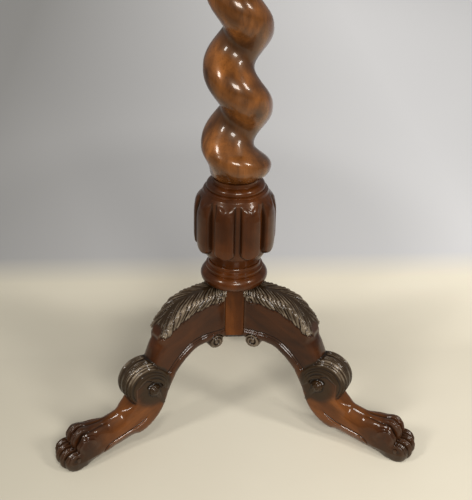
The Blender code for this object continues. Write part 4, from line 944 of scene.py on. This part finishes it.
HEEL_HEIGHT = 0.6
HEEL_LINES = [(-1.1, 0.9, 0.7), (1.1, -0.8, 0.8)]
HEEL_START, HEEL_END = 16.0, 8.0
HEEL_REACH = 9.0
HEEL_LOW = 4.0


def shank_field(R2, Z2, T):
    above, run = path_field(curve_through(SHANK_TOP, PATH_STEPS), R2, Z2)
    below, _ = path_field(curve_through(SHANK_BOTTOM, PATH_STEPS), R2, Z2)
    height = np.maximum(-(above + below), SHANK_LEAST_HEIGHT)
    up = (above - below) / height
    line, at = path_field(curve_through(HEEL_LINE, HEEL_STEPS), R2, Z2)
    fade = rise(at, 0.0, HEEL_START) * fall(at, at.max(), HEEL_END) * (line < HEEL_REACH)
    band = (HEEL_HEIGHT * fall(line, 0.0, 1.0) + ridges(line, HEEL_LINES)) * fade
    wide = table(SHANK_WIDTHS, run) + band * (Z2 > HEEL_LOW)
    power = SHANK_SQUARE - SHANK_SQUARE_LESS * rise(run, *SHANK_ROUND_RISE)
    power = (power + SHANK_SQUARE_FOOT * rise(run, *SHANK_FOOT_RISE))[:, None, :]
    across = T / wide[:, None, :]
    level = np.abs(up)[:, None, :] ** power + across ** power
    scale = np.minimum(height / 2, wide)[:, None, :]
    start = (Z2 - SHANK_START[1]) * SHANK_START_SLOPE[1] - (R2 - SHANK_START[0]) * SHANK_START_SLOPE[0]
    ends = np.maximum(start, R2 - SHANK_END)
    return smooth_max((level ** (1 / power) - 1) * scale, ends[:, None, :], SHANK_END_ROUND)


# Paw: a smooth flank, and two longer toes in the middle, each with a knuckle and a tip

PAW_START = 160.0
PAW_FORMS = [((205.6, 26.0), (13.0, 13.2)), ((206.0, 12.5), (17.0, 14.0)), ((221.0, 10.4), (14.0, 13.0))]
PAW_WIDTHS = [(180.0, 14.5), (190.0, 16.2), (200.0, 18.4), (210.0, 20.4), (222.0, 20.8), (230.0, 19.6),
              (236.0, 16.0)]
PAW_TUCK, PAW_TUCK_BACK = 0.25, 0.6
PAW_TUCK_FALL = (215.0, 20.0)
PAW_TUCK_LEVEL = 12.0
PAW_CORNER = 6.0
PAW_BLEND = 4.5
HEEL_BLEND, BALL_BLEND = 2.0, 0.9
TIP_BLEND, TOE_BLEND = 0.9, 1.2
TOE_INNER, TOE_OUTER = 5.2, 15.5
TOE_GAP = 10.3
TOE_KNUCKLE = ((209.0, TOE_INNER, 30.8), (12.6, 7.4, 15.4), 12.0)
TOE_TIP = ((224.4, TOE_INNER, 11.2), (13.2, 7.0, 13.6))
CREASE_PITCH = 3.0
CLAW_CUT, CLAW_RISE, CLAW_UP_RISE = 0.9, (216.0, 4.0), (12.0, 5.0)
CREASE_CUT, CREASE_RISE, CREASE_UP_RISE = 0.5, (194.0, 6.0), (26.0, 6.0)
TENDON_RISE, TENDON_UP_RISE = (174.0, 12.0), (20.0, 12.0)
VALLEY_CUT, VALLEY_RISE = 2.4, (200.0, 12.0)
VALLEY_NARROW, VALLEY_SPREAD = 0.55, (174.0, 34.0)
VALLEY_WIDTH, MIDDLE_WIDTH = 1.4, 1.3


def paw_field(R2, Z2, T):
    R = R2[:, None, :]
    Z = Z2[:, None, :]
    back, heel, ball = [ellipse(R2, Z2, *form) for form in PAW_FORMS]
    outline = smooth_min(smooth_min(back, heel, HEEL_BLEND), ball, BALL_BLEND)
    tuck = PAW_TUCK + PAW_TUCK_BACK * fall(R2, *PAW_TUCK_FALL)
    wide = table(PAW_WIDTHS, R2) - tuck * np.maximum(PAW_TUCK_LEVEL - Z2, 0.0)
    paw = smooth_max(outline[:, None, :], T - wide[:, None, :], PAW_CORNER)
    toe = smooth_min(ellipsoid(R, T, Z, *TOE_KNUCKLE), ellipsoid(R, T, Z, *TOE_TIP), TIP_BLEND)
    paw = smooth_min(paw, toe, TOE_BLEND)
    lines = np.where(T < TOE_GAP, np.abs(T - TOE_INNER), np.abs(T - TOE_OUTER))
    waves = np.cos(2 * math.pi * lines / CREASE_PITCH)
    claws = CLAW_CUT * waves * rise(R, *CLAW_RISE) * rise(Z, *CLAW_UP_RISE)
    creases = CREASE_CUT * waves * rise(R, *CREASE_RISE) * rise(Z, *CREASE_UP_RISE)
    return paw - claws - creases


def toe_valleys(R, T, Z):
    """Depth of the valleys between the toes, which run back between the tendons."""
    deep = rise(R, *TENDON_RISE) * rise(Z, *TENDON_UP_RISE) + VALLEY_CUT * rise(R, *VALLEY_RISE)
    gap = TOE_GAP * (VALLEY_NARROW + (1 - VALLEY_NARROW) * rise(R, *VALLEY_SPREAD))
    return deep * (bell(T - gap, VALLEY_WIDTH) + bell(T, MIDDLE_WIDTH))


# The whole leg: its pieces joined, and what its finish needs to know

SHANK_BLEND, SCROLL_BLEND = 2.5, 1.2
CRESCENT_BLEND, EYE_BLEND = 0.8, 0.5
SKIN_FALL = (2.5, 2.0)
WOUND_LOW, WOUND_RISE = 0.65, (62.0, 14.0)
# Painted shade: the plain side beside the scroll's eye takes the carving's dark skin
FLANK_SHADE, FLANK_FALL, FLANK_SIDE = 0.9, (26.0, 14.0), 10.0
EYE_CARVED = 0.8
EYE_DULL, EYE_DULL_FALL = 0.9, (22.0, 5.0)
BELOW_DULL, BELOW_FALL = 0.88, (98.0, 16.0)
BELOW_START_RISE, BELOW_END_FALL = (96.0, 6.0), (158.0, 6.0)
RELIEF_LIMIT = 3.0
RELIEF_REACH = 2.8


def leg_field():
    """Half a leg on a grid, for t of 0 and more: distances, where it is carved or given painted shade, and
    where its ridges get neither worn tint nor painted glints.
    """
    r = np.arange(FIELD_LOW[0], FIELD_HIGH[0], VOXEL)
    z = np.arange(FIELD_LOW[1], FIELD_HIGH[1], VOXEL)
    T = np.arange(0.0, FIELD_HALF, VOXEL, dtype=np.float32)[None, :, None]
    R2, Z2 = [a.astype(np.float32) for a in np.meshgrid(r, z, indexing="ij")]
    R = R2[:, None, :]
    Z = Z2[:, None, :]
    knee, leaf = knee_field(R2, Z2, T)
    leg = smooth_min(knee, shank_field(R2, Z2, T), SHANK_BLEND)
    scroll, reeded = scroll_field(R, T, Z)
    leg = smooth_min(leg, scroll, SCROLL_BLEND)
    leg = smooth_max(leg, -crescent_field(R, T, Z), CRESCENT_BLEND)
    eye = eye_field(R, T, Z)
    leg = smooth_min(leg, eye, EYE_BLEND)
    near = slice(np.searchsorted(r, PAW_START), None)
    foot = smooth_min(leg[near], paw_field(R2[near], Z2[near], T), PAW_BLEND)
    leg[near] = foot + toe_valleys(R[near], T, Z[near])
    for limit in (HUB_FACE - R, Z - LEG_TOP, -Z):
        leg = np.maximum(leg, limit)
    from_eye = np.hypot(R - EYE_CENTRE[0], Z - EYE_CENTRE[1])
    # The scroll's skin and ridge tint thin out low down, keeping its painted glints high
    rolled_skin_and_shade = fall(scroll, *SKIN_FALL) * ((1 - WOUND_LOW) * rise(Z, *WOUND_RISE) + WOUND_LOW) * reeded
    # Painted shade on the plain side beside the eye
    rolled_skin_and_shade = np.maximum(rolled_skin_and_shade, FLANK_SHADE * fall(from_eye, *FLANK_FALL) * (T > FLANK_SIDE))
    rolled_skin_and_shade = np.maximum(rolled_skin_and_shade, EYE_CARVED * fall(eye, *SKIN_FALL))
    carved = np.maximum(leaf * (knee < LEAF_NEAR), rolled_skin_and_shade)
    # Ridges near the eye and low on the knee get neither worn tint nor painted glints
    below = fall(Z, *BELOW_FALL) * rise(R, *BELOW_START_RISE) * fall(R, *BELOW_END_FALL)
    dull = np.maximum(EYE_DULL * fall(from_eye, *EYE_DULL_FALL), BELOW_DULL * below) * (T > 0)
    return leg, carved.astype(np.float32), dull


def mirrored(field):
    return np.concatenate([field[:, :0:-1], field], axis=1)


def blurred(field, reach):
    """Mean over a box of the field, reach cells to each side."""
    for axis in range(3):
        padding = [(0, 0)] * 3
        padding[axis] = (reach + 1, reach)
        sums = np.cumsum(np.pad(field, padding, mode="edge"), axis=axis, dtype=np.float64)
        ahead = np.take(sums, range(2 * reach + 1, sums.shape[axis]), axis=axis)
        behind = np.take(sums, range(0, sums.shape[axis] - 2 * reach - 1), axis=axis)
        field = ((ahead - behind) / (2 * reach + 1)).astype(np.float32)
    return field


def sampled(field, places):
    """The field between its cells, at places counted in cells."""
    foot = np.clip(np.floor(places).astype(int), 0, np.array(field.shape) - 2)
    share = places - foot
    total = np.zeros(len(places))
    for corner in np.ndindex(2, 2, 2):
        weight = np.prod(np.where(corner, share, 1 - share), axis=1)
        total += weight * field[tuple((foot + corner).T)]
    return total


def leg_mesh():
    leg, carved, dull = [mirrored(field) for field in leg_field()]
    grid = openvdb.FloatGrid(FIELD_FAR)
    grid.copyFromArray(leg.astype(np.float32))
    places, quads = grid.convertToQuads(0.0)
    held = np.clip(leg, -RELIEF_LIMIT, RELIEF_LIMIT)
    relief = sampled(blurred(held, round(RELIEF_REACH / VOXEL)), places)
    # Where dull is set, ridges lose their worn tint and painted glints
    relief = np.where(relief > 0, relief * (1 - sampled(dull, places)), relief)
    middle = leg.shape[1] // 2
    points = (places - (0, middle, 0)) * VOXEL + (FIELD_LOW[0], 0.0, FIELD_LOW[1])
    mesh = bpy.data.meshes.new("carved_leg")
    mesh.from_pydata(points * MM, [], quads)
    label(mesh, "relief", relief)
    # The carved mask also holds painted shade beside the eye
    label(mesh, "carved", sampled(carved, places))
    return mesh


def make_legs():
    mesh = leg_mesh()
    for name, angle in LEG_ANGLES.items():
        piece = new_piece("carved_" + name, mesh, CARVED_WOOD, LEG_SHARP)
        piece.rotation_euler = (0.0, 0.0, math.radians(angle))
        dress(piece, "base", name)


# Catch spring


def make_spring():
    piece = new_piece("coil_spring", nodes["catch_spring"].data.copy(), STEEL)
    dress(piece, "top", "catch_spring")
    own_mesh(piece)


# Pieces whose solids are right already: a better finish

FINISHES = {"turned_wood": BLOCK_WOOD, "plain_wood": PLAIN_WOOD, "brass": BRASS, "iron": IRON, "steel": STEEL}


def finish_nodes():
    for part in frame["record"]["subparts"]:
        thing = nodes[part["node"]]
        finish = FINISHES.get(part["material_slot"])
        if finish and not thing.hide_render:
            thing.data.materials.clear()
            thing.data.materials.append(finish)


# Stage, light and camera

FLOOR_RADIUS = 9.0
FLOOR_STEPS = 96
FLOOR_ROUGHNESS = 0.6
FLOOR_SCUFFS = 3.0
FLOOR_WARM = (colour(0.74, 0.68, 0.535), colour(0.78, 0.72, 0.575))
# Painted shade to the left and painted light to the right, on the warm floor and on the grey
FLOOR_SIDE_SHADING = (colour(0.59, 0.60, 0.61), colour(1.06, 1.07, 1.10))
FLOOR_GREY_SHADED = (colour(0.325, 0.322, 0.315), colour(0.84, 0.845, 0.86))
# Painted shadow towards the viewer
FLOOR_NEAR_SHADOW = colour(0.05, 0.045, 0.04)
ACROSS = (-0.45, 0.45)
# Painted light on the warm floor towards the back
AWAY_SHADING = (0.10, 0.28, 1.00, 1.38)
BACK = (0.304, 0.385)
NEAR_SHADOW = (-0.22, -0.55, 0.0, 0.7)
WORLD_TINT = colour(1.0, 0.98, 0.95)
WORLD_STRENGTH = 0.26
LAMP_TINT = (1.0, 0.97, 0.93)
LAMP_TARGET = (0.0, 0.0, 0.25)
LAMPS = {
    "ceiling": ((0.1, -1.1, 2.35), LAMP_TARGET, (0.34, 0.34), 12.0),
    "window_front": ((0.3, -2.5, 1.6), LAMP_TARGET, (0.95, 0.72), 57.0),
    "window_right": ((1.65, -1.15, 1.7), LAMP_TARGET, (0.34, 0.57), 19.0),
    "window_left": ((-1.65, -1.15, 1.7), LAMP_TARGET, (0.34, 0.57), 19.0),
    "background": ((0.0, 1.7, 1.7), (0.0, 3.4, 0.0), (0.9, 0.5), 14.0),
}
CAMERA_PLACE = (-0.0772, -1.0222, 0.7659)
CAMERA_HEADING = math.radians(4.42)
CAMERA_PITCH = math.radians(28.207)
CAMERA_ROLL = math.radians(1.25)
CAMERA_SENSOR = 36.0
CAMERA_LENS = 72.0


def make_floor():
    """A wide pale floor, warm near the table and grey further back, with painted light and shade: darker to
    the left, lighter to the right and at the back, and a painted shadow towards the viewer.
    """
    material, tree, shader = new_material("floor")
    place = own_place(tree)
    parts = node(tree, "ShaderNodeSeparateXYZ", {"Vector": place})
    depth = parts.outputs["Y"]
    across = ranged(tree, parts.outputs["X"], *ACROSS)
    scuffs = ranged(tree, noise(tree, place, FLOOR_SCUFFS, 5.0), 0.3, 0.7)
    # Painted shade to the left and painted light to the right
    warm = mix(tree, 1.0, mix(tree, scuffs, *FLOOR_WARM), mix(tree, across, *FLOOR_SIDE_SHADING), "MULTIPLY")
    away_shading = ranged(tree, depth, *AWAY_SHADING)
    # Painted light towards the back
    warm = node(tree, "ShaderNodeVectorMath", {0: warm, "Scale": away_shading}, operation="SCALE").outputs[0]
    # Grey further back, with painted shade to the left
    pale = mix(tree, ranged(tree, depth, *BACK), warm, mix(tree, across, *FLOOR_GREY_SHADED))
    # Painted shadow towards the viewer
    base = mix(tree, ranged(tree, depth, *NEAR_SHADOW), pale, FLOOR_NEAR_SHADOW)
    tree.links.new(base, shader.inputs["Base Color"])
    shader.inputs["Roughness"].default_value = FLOOR_ROUGHNESS
    shape = bmesh.new()
    bmesh.ops.create_circle(shape, cap_ends=True, segments=FLOOR_STEPS, radius=FLOOR_RADIUS)
    mesh = bpy.data.meshes.new("floor")
    shape.to_mesh(mesh)
    shape.free()
    new_piece("floor", mesh, material)


def add_lamp(name, place, target, size, power):
    light = bpy.data.lights.new(name, "AREA")
    light.shape = "RECTANGLE"
    light.size, light.size_y = size
    light.energy = power
    light.color = LAMP_TINT
    lamp = bpy.data.objects.new(name, light)
    lamp.location = place
    lamp.visible_camera = False
    lamp.rotation_euler = (Vector(target) - Vector(place)).to_track_quat("-Z", "Y").to_euler()
    bpy.context.scene.collection.objects.link(lamp)


def make_light():
    world = bpy.data.worlds.new("studio")
    world.use_nodes = True
    backdrop = world.node_tree.nodes["Background"]
    backdrop.inputs["Color"].default_value = WORLD_TINT
    backdrop.inputs["Strength"].default_value = WORLD_STRENGTH
    bpy.context.scene.world = world
    for name, settings in LAMPS.items():
        add_lamp(name, *settings)


def make_camera():
    """The photo's view: 1000 pixels of focal length in a frame 500 high."""
    level = math.cos(CAMERA_PITCH)
    ahead = Vector((math.sin(CAMERA_HEADING) * level, math.cos(CAMERA_HEADING) * level,
                    -math.sin(CAMERA_PITCH)))
    turn = ahead.to_track_quat("-Z", "Y").to_matrix() @ Matrix.Rotation(CAMERA_ROLL, 3, "Z")
    camera = bpy.data.cameras.new("camera")
    camera.sensor_width = CAMERA_SENSOR
    camera.lens = CAMERA_LENS
    viewer = bpy.data.objects.new("camera", camera)
    viewer.matrix_world = Matrix.Translation(CAMERA_PLACE) @ turn.to_4x4()
    bpy.context.scene.collection.objects.link(viewer)
    bpy.context.scene.camera = viewer


make_twist()
make_ring()
make_collar()
make_upper_collar()
make_top()
make_legs()
make_spring()
finish_nodes()
make_floor()
make_light()
make_camera()
bpy.context.scene.view_settings.view_transform = "Standard"
